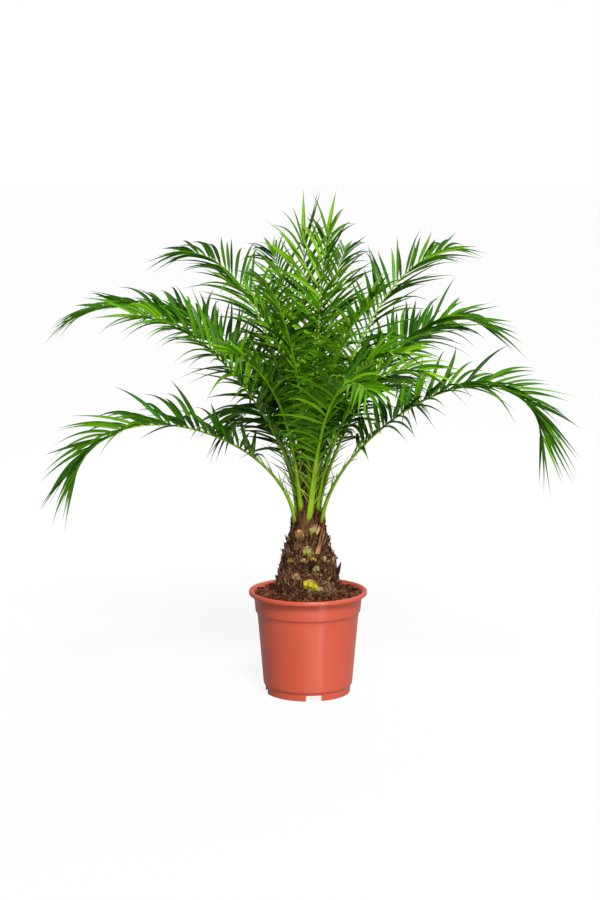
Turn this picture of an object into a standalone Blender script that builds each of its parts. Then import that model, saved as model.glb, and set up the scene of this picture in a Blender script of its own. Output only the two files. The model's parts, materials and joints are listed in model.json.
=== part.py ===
"""A potted pygmy date palm: a round nursery pot, its soil, a short trunk and a crown of fronds.

Units are metres, +Z is up, and the origin is the middle of the pot's underside, which
stands on the ground. Seen from the front, the camera looks along +Y.
"""

import math
import random

import bmesh
import bpy
import numpy as np
from mathutils import Matrix, Vector
from mathutils.bvhtree import BVHTree

# The gap that each solid keeps to its neighbour.
GAP = 0.0003

# The pot: a 19 cm nursery pot with a rolled lip, a band under it and a drained foot.
POT_HEIGHT = 0.167
LIP_RADIUS = 0.095
LIP_WIDTH = 0.0065
LIP_HEIGHT = 0.0065
LIP_ROUND = 0.0012
BAND_TOP_RADIUS = 0.0868
BAND_FOOT_RADIUS = 0.0842
BAND_FOOT = 0.1335
STEP_DROP = 0.0035
WALL_TOP_RADIUS = 0.0817
WALL_FOOT_RADIUS = 0.0713
WALL_FOOT = 0.015
FOOT_RADIUS = 0.068
FOOT_HEIGHT = 0.0105
FOOT_DRAFT = 0.0004
FLOOR_ROUND = 0.0010
POT_WALL = 0.0021
FLOOR_THICKNESS = 0.0024
PUCK_RADIUS = 0.010
POT_SIDES = 40

# Four drain notches are cut in the foot ring.
NOTCH_COUNT = 4
NOTCH_AZIMUTH = 8.0
NOTCH_WIDTH = 0.025
NOTCH_HEIGHT = 0.0095

# The soil and the trunk that stands on it.
SOIL_LEVEL = 0.160
SOIL_DIP = 0.002
SOIL_FLAT_RADIUS = 0.060
TRUNK_FOOT_RADIUS = 0.050
TRUNK_SIDES = 22
TRUNK_TOP = 0.306
SOCKET_REACH = 0.045

# The trunk's radius and height at each change of its taper, from its tip to above its foot.
TRUNK_LINE = (
    (0.0068, 0.3035),
    (0.0120, 0.2990),
    (0.0170, 0.2920),
    (0.0215, 0.2840),
    (0.0245, 0.2750),
    (0.0280, 0.2630),
    (0.0345, 0.2390),
    (0.0430, 0.2150),
    (0.0470, 0.1920),
    (0.0492, 0.1700),
)

# The cut bases of old leaves stand out of the trunk on a spiral.
STUB_COUNT = 30
STUB_LENGTH = 0.021
STUB_FOOT_RADIUS = 0.0093
STUB_TIP_RADIUS = 0.0060
STUB_SIDES = 5
STUB_FLATNESS = 0.55
STUB_LOWEST = 0.177
STUB_HIGHEST = 0.266
STUB_PROUD = 0.0008
STUB_LOSS = 0.35
STUB_SIZES = (0.90, 1.15)
STUB_TILTS = (24.0, 40.0)
STUB_SWAY = 6.0
GOLDEN_ANGLE = 137.508

# The fronds stand in four rings round the spear leaf: root radius, root height and the
# girth of the rib as a share of the full one.
RINGS = {
    "outer": (0.0225, 0.279, 1.0),
    "second": (0.0170, 0.288, 0.96),
    "third": (0.0120, 0.295, 0.86),
    "inner": (0.0068, 0.300, 0.74),
}

# Each frond: ring, heading, four leans (degrees from upright, at the foot, two pulls between
# and at the tip), length of its rib, longest leaflet, and the roll of its blade about the rib.
FRONDS = (
    ("outer", 193, (6, 86, 50, 166), 0.454, 0.108, -12),
    ("outer", 354, (7, 74, 21, 180), 0.488, 0.112, 18),
    ("second", 161, (6, 25, 58, 109), 0.550, 0.110, -8),
    ("second", 17, (5, 49, 0, 124), 0.458, 0.106, 18),
    ("third", 142, (3, 21, 7, 92), 0.505, 0.110, -34),
    ("third", 37, (2, 33, 17, 82), 0.515, 0.110, 28),
    ("inner", 94, (10, 20, -11, 7), 0.423, 0.141, -11),
    ("inner", 54, (9, -2, -1, 17), 0.438, 0.118, 14),
    ("third", 200, (9, 42, 25, 86), 0.441, 0.112, -34),
    ("second", 338, (4, 25, 15, 99), 0.320, 0.114, 34),
    ("second", 237, (13, 6, 44, 74), 0.350, 0.106, -20),
    ("second", 316, (12, -3, 47, 88), 0.370, 0.109, 20),
    ("outer", 290, (15, 14, 49, 110), 0.391, 0.098, 12),
    ("third", 254, (5, 27, 27, 75), 0.480, 0.104, -20),
    ("inner", 219, (8, 2, 16, 60), 0.403, 0.100, -28),
    ("inner", 300, (7, 10, 38, 62), 0.420, 0.100, 22),
    ("outer", 111, (11, 67, 76, 136), 0.405, 0.106, -20),
    ("outer", 62, (14, 51, 63, 136), 0.442, 0.104, 5),
    ("second", 97, (11, 34, 60, 109), 0.472, 0.112, 9),
    ("second", 136, (12, 36, 41, 90), 0.458, 0.110, -26),
    ("second", 41, (10, 42, 42, 96), 0.448, 0.106, 14),
    ("third", 77, (4, 30, 18, 71), 0.483, 0.108, 5),
    ("third", 106, (8, 17, 18, 64), 0.461, 0.112, -20),
)
SPEAR_LENGTH = 0.30
SPEAR_HEADING = 20.0
SPEAR_LEAN = (1, 2, 3, 5)
SPEAR_GIRTH = 0.60
SPEAR_ROOT = 0.3025
SPEAR_STATIONS = (0.06, 0.30, 0.60, 0.85)

# The rib is a three-sided limb, flat below and ridged above.
PETIOLE_WIDTH = 0.0090
PETIOLE_DEPTH = 0.0044
RIB_WIDTH = 0.0062
RIB_DEPTH = 0.0040
RIB_TIP_WIDTH = 0.0030
RIB_TIP_DEPTH = 0.0022
BLADE_START = 0.27
ROLL_FULL_BY = 0.35
PETIOLE_STATIONS = (0.05, 0.11, 0.18, 0.24)

# The leaflets, in pairs along the blade, fewer and wider than the living ones.
LEAFLET_SPACING = 0.0235
LEAFLET_ROOT = 0.0090
LEAFLET_WIDTH = 0.0112
LEAFLET_THICKNESS = 0.0015
LEAFLET_MIDDLE = 0.42
LEAFLET_OPEN = 72.0
LEAFLET_CLOSE = 51.0
LEAFLET_RISE = 34.0
LEAFLET_RISE_LOSS = 8.0
LEAFLET_TWIST = 22.0
LEAFLET_DROOP = 0.27
TERMINAL_SHARE = 0.65
TERMINAL_WIDTH = 0.0090

# How a leaflet's length changes along the blade, as shares of the longest.
FIRST_SHARE = 0.55
FULL_BY = 0.30
FULL_POWER = 0.7
LAST_LOSS = 0.34
LOSS_FROM = 0.50
LOSS_POWER = 1.3
CLOSE_POWER = 1.2

# How far single leaflets stray from the rule, in degrees and as a share for the droop.
OPEN_SPREAD = 5.0
RISE_SPREAD = 12.0
TWIST_SPREAD = 10.0
DROOP_SPREAD = (-0.08, 0.10)

# A leaflet that finds no room is swung aside and shortened, this often and this far.
TRIES = 9
SWING_OPEN = 2.5
SWING_RISE = 8.0
SWING_LOSS = 0.06
NEAR_SHARE = 0.02
TUBE_RINGS = 41

# A frond that bends further than this is split at the bend.
SPLIT_BEND = 90.0
SPLIT_AT = 0.60
SEED = 11


def clear_scene():
    """Remove whatever the opened file holds."""
    for item in list(bpy.data.objects):
        bpy.data.objects.remove(item, do_unlink=True)


def new_collection(name, parent=None):
    """Return a new collection under its parent, or under the scene."""
    collection = bpy.data.collections.new(name)
    (parent or bpy.context.scene.collection).children.link(collection)
    return collection


def material(name, colour, roughness):
    """Return a plain Principled material."""
    made = bpy.data.materials.new(name)
    made.use_nodes = True
    shader = made.node_tree.nodes["Principled BSDF"]
    shader.inputs["Base Color"].default_value = (*colour, 1.0)
    shader.inputs["Roughness"].default_value = roughness
    shader.inputs["Metallic"].default_value = 0.0
    return made


def add_object(name, mesh, collection, finish=None):
    """Put a mesh in the scene as an object of that name."""
    made = bpy.data.objects.new(name, mesh)
    collection.objects.link(made)
    if finish is not None:
        mesh.materials.append(finish)
    return made


def add_bmesh(name, source, collection, finish=None):
    """Turn a bmesh into an object and free it."""
    mesh = bpy.data.meshes.new(name)
    source.to_mesh(mesh)
    source.free()
    return add_object(name, mesh, collection, finish)


def as_cutter(item):
    """Mark an object as a guide that is no part of the model."""
    item.hide_render = True
    item.display_type = "WIRE"


def smooth(item):
    """Shade a round piece smooth, with its edges kept."""
    item.data.shade_smooth()
    item.data.set_sharp_from_angle(angle=math.radians(35.0))


def turned(name, profile, sides, collection, finish=None):
    """Turn a profile of (radius, height) points about Z with a Screw modifier."""
    mesh = bpy.data.meshes.new(name)
    points = [(radius, 0.0, height) for radius, height in profile]
    mesh.from_pydata(points, [(i, i + 1) for i in range(len(points) - 1)], [])
    made = add_object(name, mesh, collection, finish)
    screw = made.modifiers.new("Turn", "SCREW")
    screw.steps = sides
    screw.render_steps = sides
    screw.use_merge_vertices = True
    screw.merge_threshold = 0.00001
    return made


def settle(item):
    """Replace an object's mesh by its evaluated mesh and drop its modifiers."""
    graph = bpy.context.evaluated_depsgraph_get()
    mesh = bpy.data.meshes.new_from_object(item.evaluated_get(graph))
    item.modifiers.clear()
    item.data = mesh


def boolean(item, operation, collection):
    """Join or cut an object with all the objects of a collection."""
    step = item.modifiers.new(operation.title(), "BOOLEAN")
    step.operation = operation
    step.operand_type = "COLLECTION"
    step.collection = collection
    step.solver = "EXACT"
    return step


def polar(radius, azimuth, height):
    """Return the point at a radius, an azimuth in degrees and a height."""
    angle = math.radians(azimuth)
    return Vector((radius * math.cos(angle), radius * math.sin(angle), height))


def pot_outside():
    """Return the pot's outer line, from the top of the lip down to the foot."""
    lip_foot = POT_HEIGHT - LIP_HEIGHT
    return [
        (LIP_RADIUS - LIP_WIDTH, POT_HEIGHT - LIP_ROUND / 2),
        (LIP_RADIUS - LIP_WIDTH / 2, POT_HEIGHT),
        (LIP_RADIUS - LIP_ROUND, POT_HEIGHT - LIP_ROUND),
        (LIP_RADIUS, POT_HEIGHT - LIP_HEIGHT / 2),
        (LIP_RADIUS - LIP_ROUND, lip_foot),
        (BAND_TOP_RADIUS, lip_foot),
        (BAND_FOOT_RADIUS, BAND_FOOT),
        (WALL_TOP_RADIUS, BAND_FOOT - STEP_DROP),
        (WALL_FOOT_RADIUS, WALL_FOOT),
        (FOOT_RADIUS + FOOT_DRAFT, FOOT_HEIGHT),
        (FOOT_RADIUS, 0.0),
    ]


def pot_inside(clearance=0.0):
    """Return the pot's inner line from its floor up, drawn in by a clearance."""
    drawn_in = POT_WALL + clearance
    floor = FOOT_HEIGHT + FLOOR_THICKNESS + clearance
    return [
        (WALL_FOOT_RADIUS - drawn_in - FLOOR_ROUND, floor),
        (WALL_FOOT_RADIUS - drawn_in, WALL_FOOT + FLOOR_ROUND + clearance),
        (WALL_TOP_RADIUS - drawn_in, BAND_FOOT - STEP_DROP),
        (BAND_FOOT_RADIUS - drawn_in, BAND_FOOT),
    ]


def band_radius(height):
    """Return the outer radius of the band under the lip at a height."""
    heights = (BAND_FOOT, POT_HEIGHT - LIP_HEIGHT)
    return float(np.interp(height, heights, (BAND_FOOT_RADIUS, BAND_TOP_RADIUS)))


def build_pot(parts, cutters):
    """Build the pot: one turned shell, with drain notches through its foot ring."""
    floor_top = FOOT_HEIGHT + FLOOR_THICKNESS
    profile = [(0.0, floor_top)]
    profile += pot_inside()
    profile += [(BAND_TOP_RADIUS - POT_WALL, POT_HEIGHT - LIP_HEIGHT)]
    profile += pot_outside()
    profile += [
        (FOOT_RADIUS - POT_WALL, 0.0),
        (FOOT_RADIUS - POT_WALL, FOOT_HEIGHT),
        (PUCK_RADIUS, FOOT_HEIGHT),
        (PUCK_RADIUS, 0.0),
        (0.0, 0.0),
    ]
    finish = material("terracotta_plastic", (0.60, 0.13, 0.075), 0.42)
    pot = turned("pot", profile, POT_SIDES, parts, finish)
    settle(pot)

    notches = new_collection("notch_cutters", cutters)
    for index in range(NOTCH_COUNT):
        azimuth = NOTCH_AZIMUTH + index * 360.0 / NOTCH_COUNT
        block = bmesh.new()
        bmesh.ops.create_cube(block, size=1.0)
        size = Vector((POT_WALL * 5, NOTCH_WIDTH, NOTCH_HEIGHT * 2))
        bmesh.ops.scale(block, vec=size, verts=block.verts)
        place = Matrix.Translation(polar(FOOT_RADIUS - POT_WALL / 2, azimuth, 0.0))
        turn = Matrix.Rotation(math.radians(azimuth), 4, "Z")
        bmesh.ops.transform(block, matrix=place @ turn, verts=block.verts)
        as_cutter(add_bmesh("notch_%d" % (index + 1), block, notches))
    boolean(pot, "DIFFERENCE", notches)
    smooth(pot)
    return pot


def build_soil(parts):
    """Build the soil that fills the pot, flat where the trunk stands."""
    fill = pot_inside(GAP)
    edge_height = SOIL_LEVEL - SOIL_DIP
    profile = [
        (0.0, SOIL_LEVEL),
        (SOIL_FLAT_RADIUS, SOIL_LEVEL),
        (band_radius(edge_height) - POT_WALL - GAP, edge_height),
    ]
    profile += reversed(fill)
    profile += [(0.0, fill[0][1])]
    finish = material("potting_soil", (0.055, 0.026, 0.017), 0.95)
    soil = turned("soil", profile, POT_SIDES, parts, finish)
    settle(soil)
    smooth(soil)
    return soil


def trunk_profile():
    """Return the trunk's line from its tip down its side to its flat cut foot."""
    foot = SOIL_LEVEL + GAP
    return [(0.0, TRUNK_TOP), *TRUNK_LINE, (TRUNK_FOOT_RADIUS, foot), (0.0, foot)]


def trunk_radius(height):
    """Return the trunk's radius at a height."""
    line = sorted((z, r) for r, z in trunk_profile()[1:-1])
    return float(np.interp(height, [z for z, _ in line], [r for _, r in line]))


def add_stub(index, collection, rng):
    """Add the cut base of one old leaf, standing out of the trunk on its spiral."""
    share = index / (STUB_COUNT - 1)
    height = STUB_LOWEST + (STUB_HIGHEST - STUB_LOWEST) * share
    azimuth = index * GOLDEN_ANGLE + rng.uniform(-STUB_SWAY, STUB_SWAY)
    size = (1.0 - STUB_LOSS * share) * rng.uniform(*STUB_SIZES)
    tilt = math.radians(rng.uniform(*STUB_TILTS))
    stub = bmesh.new()
    bmesh.ops.create_cone(
        stub,
        cap_ends=True,
        segments=STUB_SIDES,
        radius1=STUB_FOOT_RADIUS * size,
        radius2=STUB_TIP_RADIUS * size,
        depth=STUB_LENGTH * size,
    )
    bmesh.ops.scale(stub, vec=Vector((STUB_FLATNESS, 1.0, 1.0)), verts=stub.verts)
    place = Matrix.Translation(polar(trunk_radius(height) + STUB_PROUD, azimuth, height))
    turn = Matrix.Rotation(math.radians(azimuth), 4, "Z")
    lean = Matrix.Rotation(tilt, 4, "Y")
    bmesh.ops.transform(stub, matrix=place @ turn @ lean, verts=stub.verts)
    as_cutter(add_bmesh("stub_%02d" % (index + 1), stub, collection))


def build_trunk(parts, cutters, sockets):
    """Build the trunk: a turned core, old leaf bases on it, and a socket for each frond."""
    rng = random.Random(SEED)
    finish = material("trunk_fibre", (0.16, 0.085, 0.045), 0.9)
    trunk = turned("trunk", trunk_profile(), TRUNK_SIDES, parts, finish)
    settle(trunk)
    stubs = new_collection("old_leaf_bases", cutters)
    for index in range(STUB_COUNT):
        add_stub(index, stubs, rng)
    boolean(trunk, "UNION", stubs)
    boolean(trunk, "DIFFERENCE", sockets)
    return trunk


class Rib:
    """The line of one frond: where it is, which way it runs and which way it faces."""

    STEPS = 240

    def __init__(self, root, heading, lean, length, roll, girth):
        """Walk the rib from its root, with the lean that the four given values set."""
        self.length = length
        self.lean = lean
        self.girth = girth
        angle = math.radians(heading)
        self.outward = Vector((math.cos(angle), math.sin(angle), 0.0))
        self.across = Vector((-math.sin(angle), math.cos(angle), 0.0))
        self.roll = math.radians(roll)
        self.points = [root]
        for step in range(self.STEPS):
            along = self.direction((step + 0.5) / self.STEPS)
            self.points.append(self.points[-1] + along * (length / self.STEPS))

    def direction(self, t):
        """Return the unit direction of the rib at a share t of its length."""
        foot, low, high, tip = self.lean
        s = 1.0 - t
        bend = foot * s**3 + 3 * low * s * s * t + 3 * high * s * t * t + tip * t**3
        lean = math.radians(bend)
        return self.outward * math.sin(lean) + Vector((0.0, 0.0, math.cos(lean)))

    def point(self, t):
        """Return the point at a share t of the length, also just past either end."""
        place = min(max(t, 0.0), 1.0) * self.STEPS
        low = min(int(place), self.STEPS - 1)
        inside = self.points[low].lerp(self.points[low + 1], place - low)
        beyond = (t - min(max(t, 0.0), 1.0)) * self.length
        return inside + self.direction(t) * beyond

    def frame(self, t):
        """Return the rib's direction, its side and its upper face at t."""
        along = self.direction(t)
        upper = along.cross(self.across)
        turn = self.roll * min(1.0, max(t, 0.0) / ROLL_FULL_BY)
        side = self.across * math.cos(turn) + upper * math.sin(turn)
        return along, side, along.cross(side)


def rib_section(t):
    """Return the width and depth of a rib at a share t of its length."""
    if t < BLADE_START:
        share = max(t, 0.0) / BLADE_START
        first, last = (PETIOLE_WIDTH, PETIOLE_DEPTH), (RIB_WIDTH, RIB_DEPTH)
    else:
        share = (t - BLADE_START) / (1.0 - BLADE_START)
        first, last = (RIB_WIDTH, RIB_DEPTH), (RIB_TIP_WIDTH, RIB_TIP_DEPTH)
    return tuple(a + (b - a) * share for a, b in zip(first, last))


def rib_corners(rib, t, grow=0.0):
    """Return the three corners of the rib's section at t, each face moved out by grow."""
    _, side, upper = rib.frame(t)
    width, depth = (value * rib.girth for value in rib_section(t))
    centre = rib.point(t)
    corners = [
        centre + side * (width / 2) - upper * (depth / 3),
        centre + upper * (depth * 2 / 3),
        centre - side * (width / 2) - upper * (depth / 3),
    ]
    edges = [(corners[(i + 1) % 3] - corners[(i + 2) % 3]).length for i in range(3)]
    around = sum(edges)
    middle = sum((corner * edge for corner, edge in zip(corners, edges)), Vector()) / around
    inner_radius = width * depth / around
    return [middle + (corner - middle) * (1.0 + grow / inner_radius) for corner in corners]


class Limb:
    """A three-sided limb that is grown ring by ring, with a face kept for each side."""

    def __init__(self, first, second):
        """Start from a three-sided prism between two rings of corners."""
        self.mesh = bmesh.new()
        bmesh.ops.create_cone(
            self.mesh, cap_ends=True, segments=3, radius1=1.0, radius2=1.0, depth=2.0
        )
        caps = sorted((f for f in self.mesh.faces if len(f.verts) == 3), key=lambda f: f.normal.z)
        self.cap = caps[-1]
        tops = [loop.vert for loop in self.cap.loops]
        for top, low_corner, high_corner in zip(tops, first, second):
            below = next(e.other_vert(top) for e in top.link_edges if e.other_vert(top) not in tops)
            below.co = low_corner
            top.co = high_corner

    def grow(self, corners):
        """Extrude the end to the next ring and return its two side faces, + and - side."""
        made = bmesh.ops.extrude_discrete_faces(self.mesh, faces=[self.cap])
        self.cap = made["faces"][0]
        for loop, corner in zip(self.cap.loops, corners):
            loop.vert.co = corner
        sides = []
        for loop in self.cap.loops:
            sides.append(next(f for f in loop.edge.link_faces if f != self.cap))
        return sides[0], sides[1]

    def sharpen(self, tip):
        """Close the end of the limb to a point."""
        bmesh.ops.poke(self.mesh, faces=[self.cap])["verts"][0].co = tip

    def add_leaflet(self, face, leaflet):
        """Draw a leaflet out of a side face: a thin middle section and then a point."""
        made = bmesh.ops.extrude_discrete_faces(self.mesh, faces=[face])
        end = made["faces"][0]
        centre = end.calc_center_median()
        for vert in end.verts:
            off = vert.co - centre
            forward = 1.0 if off.dot(leaflet.along) > 0.0 else -1.0
            above = 1.0 if off.dot(leaflet.upper) > 0.0 else -1.0
            vert.co = leaflet.corner(forward, above)
        tip = bmesh.ops.poke(self.mesh, faces=[end])["verts"][0]
        tip.co = leaflet.tip


class Leaflet:
    """One leaflet: a thin pointed blade on an arching line."""

    def __init__(self, rib, t, side, opening, rise, twist, length, droop):
        """Work out the leaflet's line and its middle section."""
        self.along, across, self.upper = rib.frame(t)
        raised = across * (side * math.cos(rise)) + self.upper * math.sin(rise)
        self.heading = self.along * math.cos(opening) + raised * math.sin(opening)
        width, depth = (value * rib.girth for value in rib_section(t))
        self.root = rib.point(t) + across * (side * width / 4) + self.upper * (depth / 6)
        self.length = length
        self.droop = droop
        self.foot = {}
        for forward in (-1, 1):
            ring = rib_corners(rib, t + forward * LEAFLET_ROOT / 2 / rib.length)
            self.foot[forward, -1] = ring[0] if side > 0.0 else ring[2]
            self.foot[forward, 1] = ring[1]
        self.middle = self.at(LEAFLET_MIDDLE)
        self.tip = self.at(1.0)
        chord = (self.tip - self.root).normalized()
        flat = (self.along - chord * self.along.dot(chord)).normalized()
        turn = Matrix.Rotation(side * twist, 3, chord)
        self.width_way = turn @ flat
        self.thick_way = self.width_way.cross(chord) * side

    def at(self, u):
        """Return the point at a share u of the leaflet's length."""
        drop = Vector((0.0, 0.0, -self.droop * u * u))
        return self.root + (self.heading * u + drop) * self.length

    def corner(self, forward, above, grow=0.0):
        """Return a corner of the middle section, which a clearance may enlarge."""
        wide = self.width_way * (forward * (LEAFLET_WIDTH / 2 + grow))
        thick = self.thick_way * (above * (LEAFLET_THICKNESS / 2 + grow))
        return self.middle + wide + thick

    def envelope(self):
        """Return the leaflet's space, with its clearance, from just off the rib to the tip."""
        turns = ((-1, -1), (1, -1), (1, 1), (-1, 1))
        centre = sum(self.foot.values(), Vector()) / len(self.foot)
        far = [self.corner(f, a, GAP * 1.5) for f, a in turns]
        near = []
        for turn, corner in zip(turns, far):
            foot = self.foot[turn] + (self.foot[turn] - centre).normalized() * GAP
            near.append(foot.lerp(corner, NEAR_SHARE))
        points = near + far + [self.tip + (self.tip - self.middle).normalized() * GAP * 2]
        faces = [(0, 1, 2, 3)]
        for i in range(4):
            faces.append((i, (i + 1) % 4, (i + 1) % 4 + 4, i + 4))
            faces.append((i + 4, (i + 1) % 4 + 4, 8))
        return points, faces


class Space:
    """The space already taken, as search trees with their boxes."""

    def __init__(self):
        """Start with nothing taken."""
        self.trees = []
        self.boxes = np.zeros((0, 6))

    def add(self, points, faces):
        """Take the space of a closed shape."""
        self.trees.append(BVHTree.FromPolygons(points, faces))
        low, high = np.min(points, axis=0), np.max(points, axis=0)
        self.boxes = np.vstack([self.boxes, np.concatenate([low, high])])

    def add_mesh(self, mesh):
        """Take the space of a mesh."""
        points = [vert.co.copy() for vert in mesh.vertices]
        self.add(points, [tuple(face.vertices) for face in mesh.polygons])

    def is_free(self, points, faces, own):
        """Tell whether a closed shape touches nothing that is taken, but for its own rib."""
        low, high = np.min(points, axis=0), np.max(points, axis=0)
        near = np.all((self.boxes[:, :3] <= high) & (self.boxes[:, 3:] >= low), axis=1)
        near[own] = False
        if not near.any():
            return True
        tree = BVHTree.FromPolygons(points, faces)
        return not any(self.trees[i].overlap(tree) for i in np.flatnonzero(near))


def terminal_leaflet(rib, longest):
    """Return the middle section and the tip of the leaflet that ends a frond."""
    along, side, upper = rib.frame(1.0)
    reach = along * (longest * TERMINAL_SHARE)
    centre = rib.point(1.0) + reach * LEAFLET_MIDDLE
    wide, thick = side * (TERMINAL_WIDTH / 2), upper * LEAFLET_THICKNESS
    return [centre + wide, centre + thick, centre - wide], rib.point(1.0) + reach


def tube_shape(rib, grow, longest=0.0):
    """Return a rib and its end leaflet as points and faces, for the space that they take."""
    rings = [rib_corners(rib, float(t), grow) for t in np.linspace(0.0, 1.0, TUBE_RINGS)]
    if longest:
        section, tip = terminal_leaflet(rib, longest)
        rings += [section, [tip.lerp(corner, 0.01) for corner in section]]
    points = [corner for ring in rings for corner in ring]
    faces = [(2, 1, 0), tuple(len(points) - 3 + i for i in range(3))]
    for ring in range(len(rings) - 1):
        low = ring * 3
        for i in range(3):
            j = (i + 1) % 3
            faces.append((low + i, low + j, low + j + 3, low + i + 3))
    return points, faces


def root_azimuths():
    """Spread each ring's frond roots evenly, in the order of their headings."""
    azimuths = {}
    for ring in RINGS:
        members = sorted((row[1], index) for index, row in enumerate(FRONDS) if row[0] == ring)
        step = 360.0 / len(members)
        start = sum(heading - i * step for i, (heading, _) in enumerate(members)) / len(members)
        for i, (_, index) in enumerate(members):
            azimuths[index] = start + i * step
    return azimuths


def frond_ribs():
    """Return the name and the rib of each frond, in the order of the table."""
    azimuths = root_azimuths()
    counts = dict.fromkeys(RINGS, 0)
    ribs = []
    for index, (ring, heading, lean, length, _, roll) in enumerate(FRONDS):
        counts[ring] += 1
        radius, height, girth = RINGS[ring]
        root = polar(radius, azimuths[index], height)
        name = "frond_%s_%d" % (ring, counts[ring])
        ribs.append((name, Rib(root, heading, lean, length, roll, girth)))
    return ribs


def leaflet_stations(rib):
    """Return the places of the leaflet pairs along a rib, as shares of its length."""
    count = round(rib.length * (1.0 - BLADE_START) / LEAFLET_SPACING)
    step = (1.0 - BLADE_START) / count
    return [BLADE_START + (i + 0.5) * step for i in range(count)]


def length_share(x):
    """Return a leaflet's length at a share x of the blade, as a share of the longest."""
    fill = FIRST_SHARE + (1.0 - FIRST_SHARE) * min(1.0, x / FULL_BY) ** FULL_POWER
    fall = max(0.0, (x - LOSS_FROM) / (1.0 - LOSS_FROM)) ** LOSS_POWER
    return fill * (1.0 - LAST_LOSS * fall)


def place_leaflet(rib, t, side, longest, space, own, rng):
    """Find room for the leaflet at t on one side, or return None where there is none."""
    x = (t - BLADE_START) / (1.0 - BLADE_START)
    length = longest * length_share(x)
    opening = LEAFLET_OPEN - LEAFLET_CLOSE * x**CLOSE_POWER + rng.uniform(-OPEN_SPREAD, OPEN_SPREAD)
    rise = LEAFLET_RISE - LEAFLET_RISE_LOSS * x + rng.uniform(-RISE_SPREAD, RISE_SPREAD)
    twist = LEAFLET_TWIST + rng.uniform(-TWIST_SPREAD, TWIST_SPREAD)
    droop = LEAFLET_DROOP + rng.uniform(*DROOP_SPREAD)
    for attempt in range(TRIES):
        swing = (attempt + 1) // 2 * (1 if attempt % 2 else -1)
        leaflet = Leaflet(
            rib,
            t,
            side,
            math.radians(opening - swing * SWING_OPEN),
            math.radians(rise + swing * SWING_RISE),
            math.radians(twist),
            length * (1.0 - SWING_LOSS * attempt),
            droop,
        )
        shape = leaflet.envelope()
        if space.is_free(*shape, own):
            space.add(*shape)
            return leaflet
    return None


def build_frond(name, rib, longest, space, own, rng, parts, finish):
    """Build one frond, in two pieces where it bends far."""
    stations = leaflet_stations(rib)
    half_root = LEAFLET_ROOT / 2 / rib.length
    bends = rib.lean[-1] - rib.lean[0] > SPLIT_BEND
    first_tip = next((i for i, t in enumerate(stations) if t > SPLIT_AT), None)
    pieces = [(name, list(PETIOLE_STATIONS), stations, 0.0, 1.0)]
    if bends:
        cut = (stations[first_tip - 1] + stations[first_tip]) / 2
        half_gap = GAP / 2 / rib.length
        pieces = [
            (name, list(PETIOLE_STATIONS), stations[:first_tip], 0.0, cut - half_gap),
            (name + "_tip", [], stations[first_tip:], cut + half_gap, 1.0),
        ]
    for piece_name, plain, leafed, start, end in pieces:
        rings = sorted(plain + [t + d for t in leafed for d in (-half_root, half_root)] + [end])
        limb = Limb(rib_corners(rib, start), rib_corners(rib, rings[0]))
        for ring in rings[1:]:
            sides = limb.grow(rib_corners(rib, ring))
            middle = next((t for t in leafed if abs(ring - half_root - t) < 1e-9), None)
            if middle is None:
                continue
            for side, face in zip((1.0, -1.0), sides):
                leaflet = place_leaflet(rib, middle, side, longest, space, own, rng)
                if leaflet is not None:
                    limb.add_leaflet(face, leaflet)
        if end == 1.0:
            section, tip = terminal_leaflet(rib, longest)
            limb.grow(section)
            limb.sharpen(tip)
        add_bmesh(piece_name, limb.mesh, parts, finish)


def build_spear(rib, parts, finish):
    """Build the spear: the young leaf that is still closed, in the middle of the crown."""
    limb = Limb(rib_corners(rib, 0.0), rib_corners(rib, SPEAR_STATIONS[0]))
    for ring in SPEAR_STATIONS[1:]:
        limb.grow(rib_corners(rib, ring))
    limb.sharpen(rib.point(1.0))
    add_bmesh("spear_leaf", limb.mesh, parts, finish)


def add_socket(name, rib, sockets):
    """Add the cutter that leaves a gap round the foot of one petiole."""
    below = -GAP / rib.length
    deep = SOCKET_REACH / rib.length
    limb = Limb(rib_corners(rib, below, GAP), rib_corners(rib, deep / 2, GAP))
    limb.grow(rib_corners(rib, deep, GAP))
    as_cutter(add_bmesh("socket_" + name, limb.mesh, sockets))


def main():
    """Build the potted palm."""
    clear_scene()
    parts = new_collection("pygmy_date_palm")
    cutters = new_collection("cutters")
    sockets = new_collection("petiole_sockets", cutters)
    build_pot(parts, cutters)
    build_soil(parts)

    ribs = frond_ribs()
    middle = Vector((0.0, 0.0, SPEAR_ROOT))
    spear = Rib(middle, SPEAR_HEADING, SPEAR_LEAN, SPEAR_LENGTH, 0.0, SPEAR_GIRTH)
    for name, rib in ribs + [("spear_leaf", spear)]:
        add_socket(name, rib, sockets)
    trunk = build_trunk(parts, cutters, sockets)

    space = Space()
    graph = bpy.context.evaluated_depsgraph_get()
    space.add_mesh(trunk.evaluated_get(graph).to_mesh())
    for (_, rib), row in zip(ribs, FRONDS):
        space.add(*tube_shape(rib, GAP, row[4]))
    space.add(*tube_shape(spear, GAP))

    rng = random.Random(SEED)
    finish = material("palm_leaf", (0.065, 0.20, 0.020), 0.45)
    for own, ((name, rib), row) in enumerate(zip(ribs, FRONDS), start=1):
        build_frond(name, rib, row[4], space, own, rng, parts, finish)
    build_spear(spear, parts, finish)


main()
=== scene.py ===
"""A potted pygmy date palm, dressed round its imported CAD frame.

Units are metres, +Z is up, and the origin is the middle of the pot's underside. The crown is
grown by the rule of the part's source, written again here and carried to finer leaflets.
"""

import json
import logging
from collections.abc import Sequence
from dataclasses import dataclass, field
from enum import Enum
from math import atan2, cos, degrees, exp, hypot, pi, radians, sin, sqrt, tau
from random import Random
from typing import Any

import bmesh
import bpy
import numpy as np
from mathutils import Matrix, Vector, noise

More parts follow.
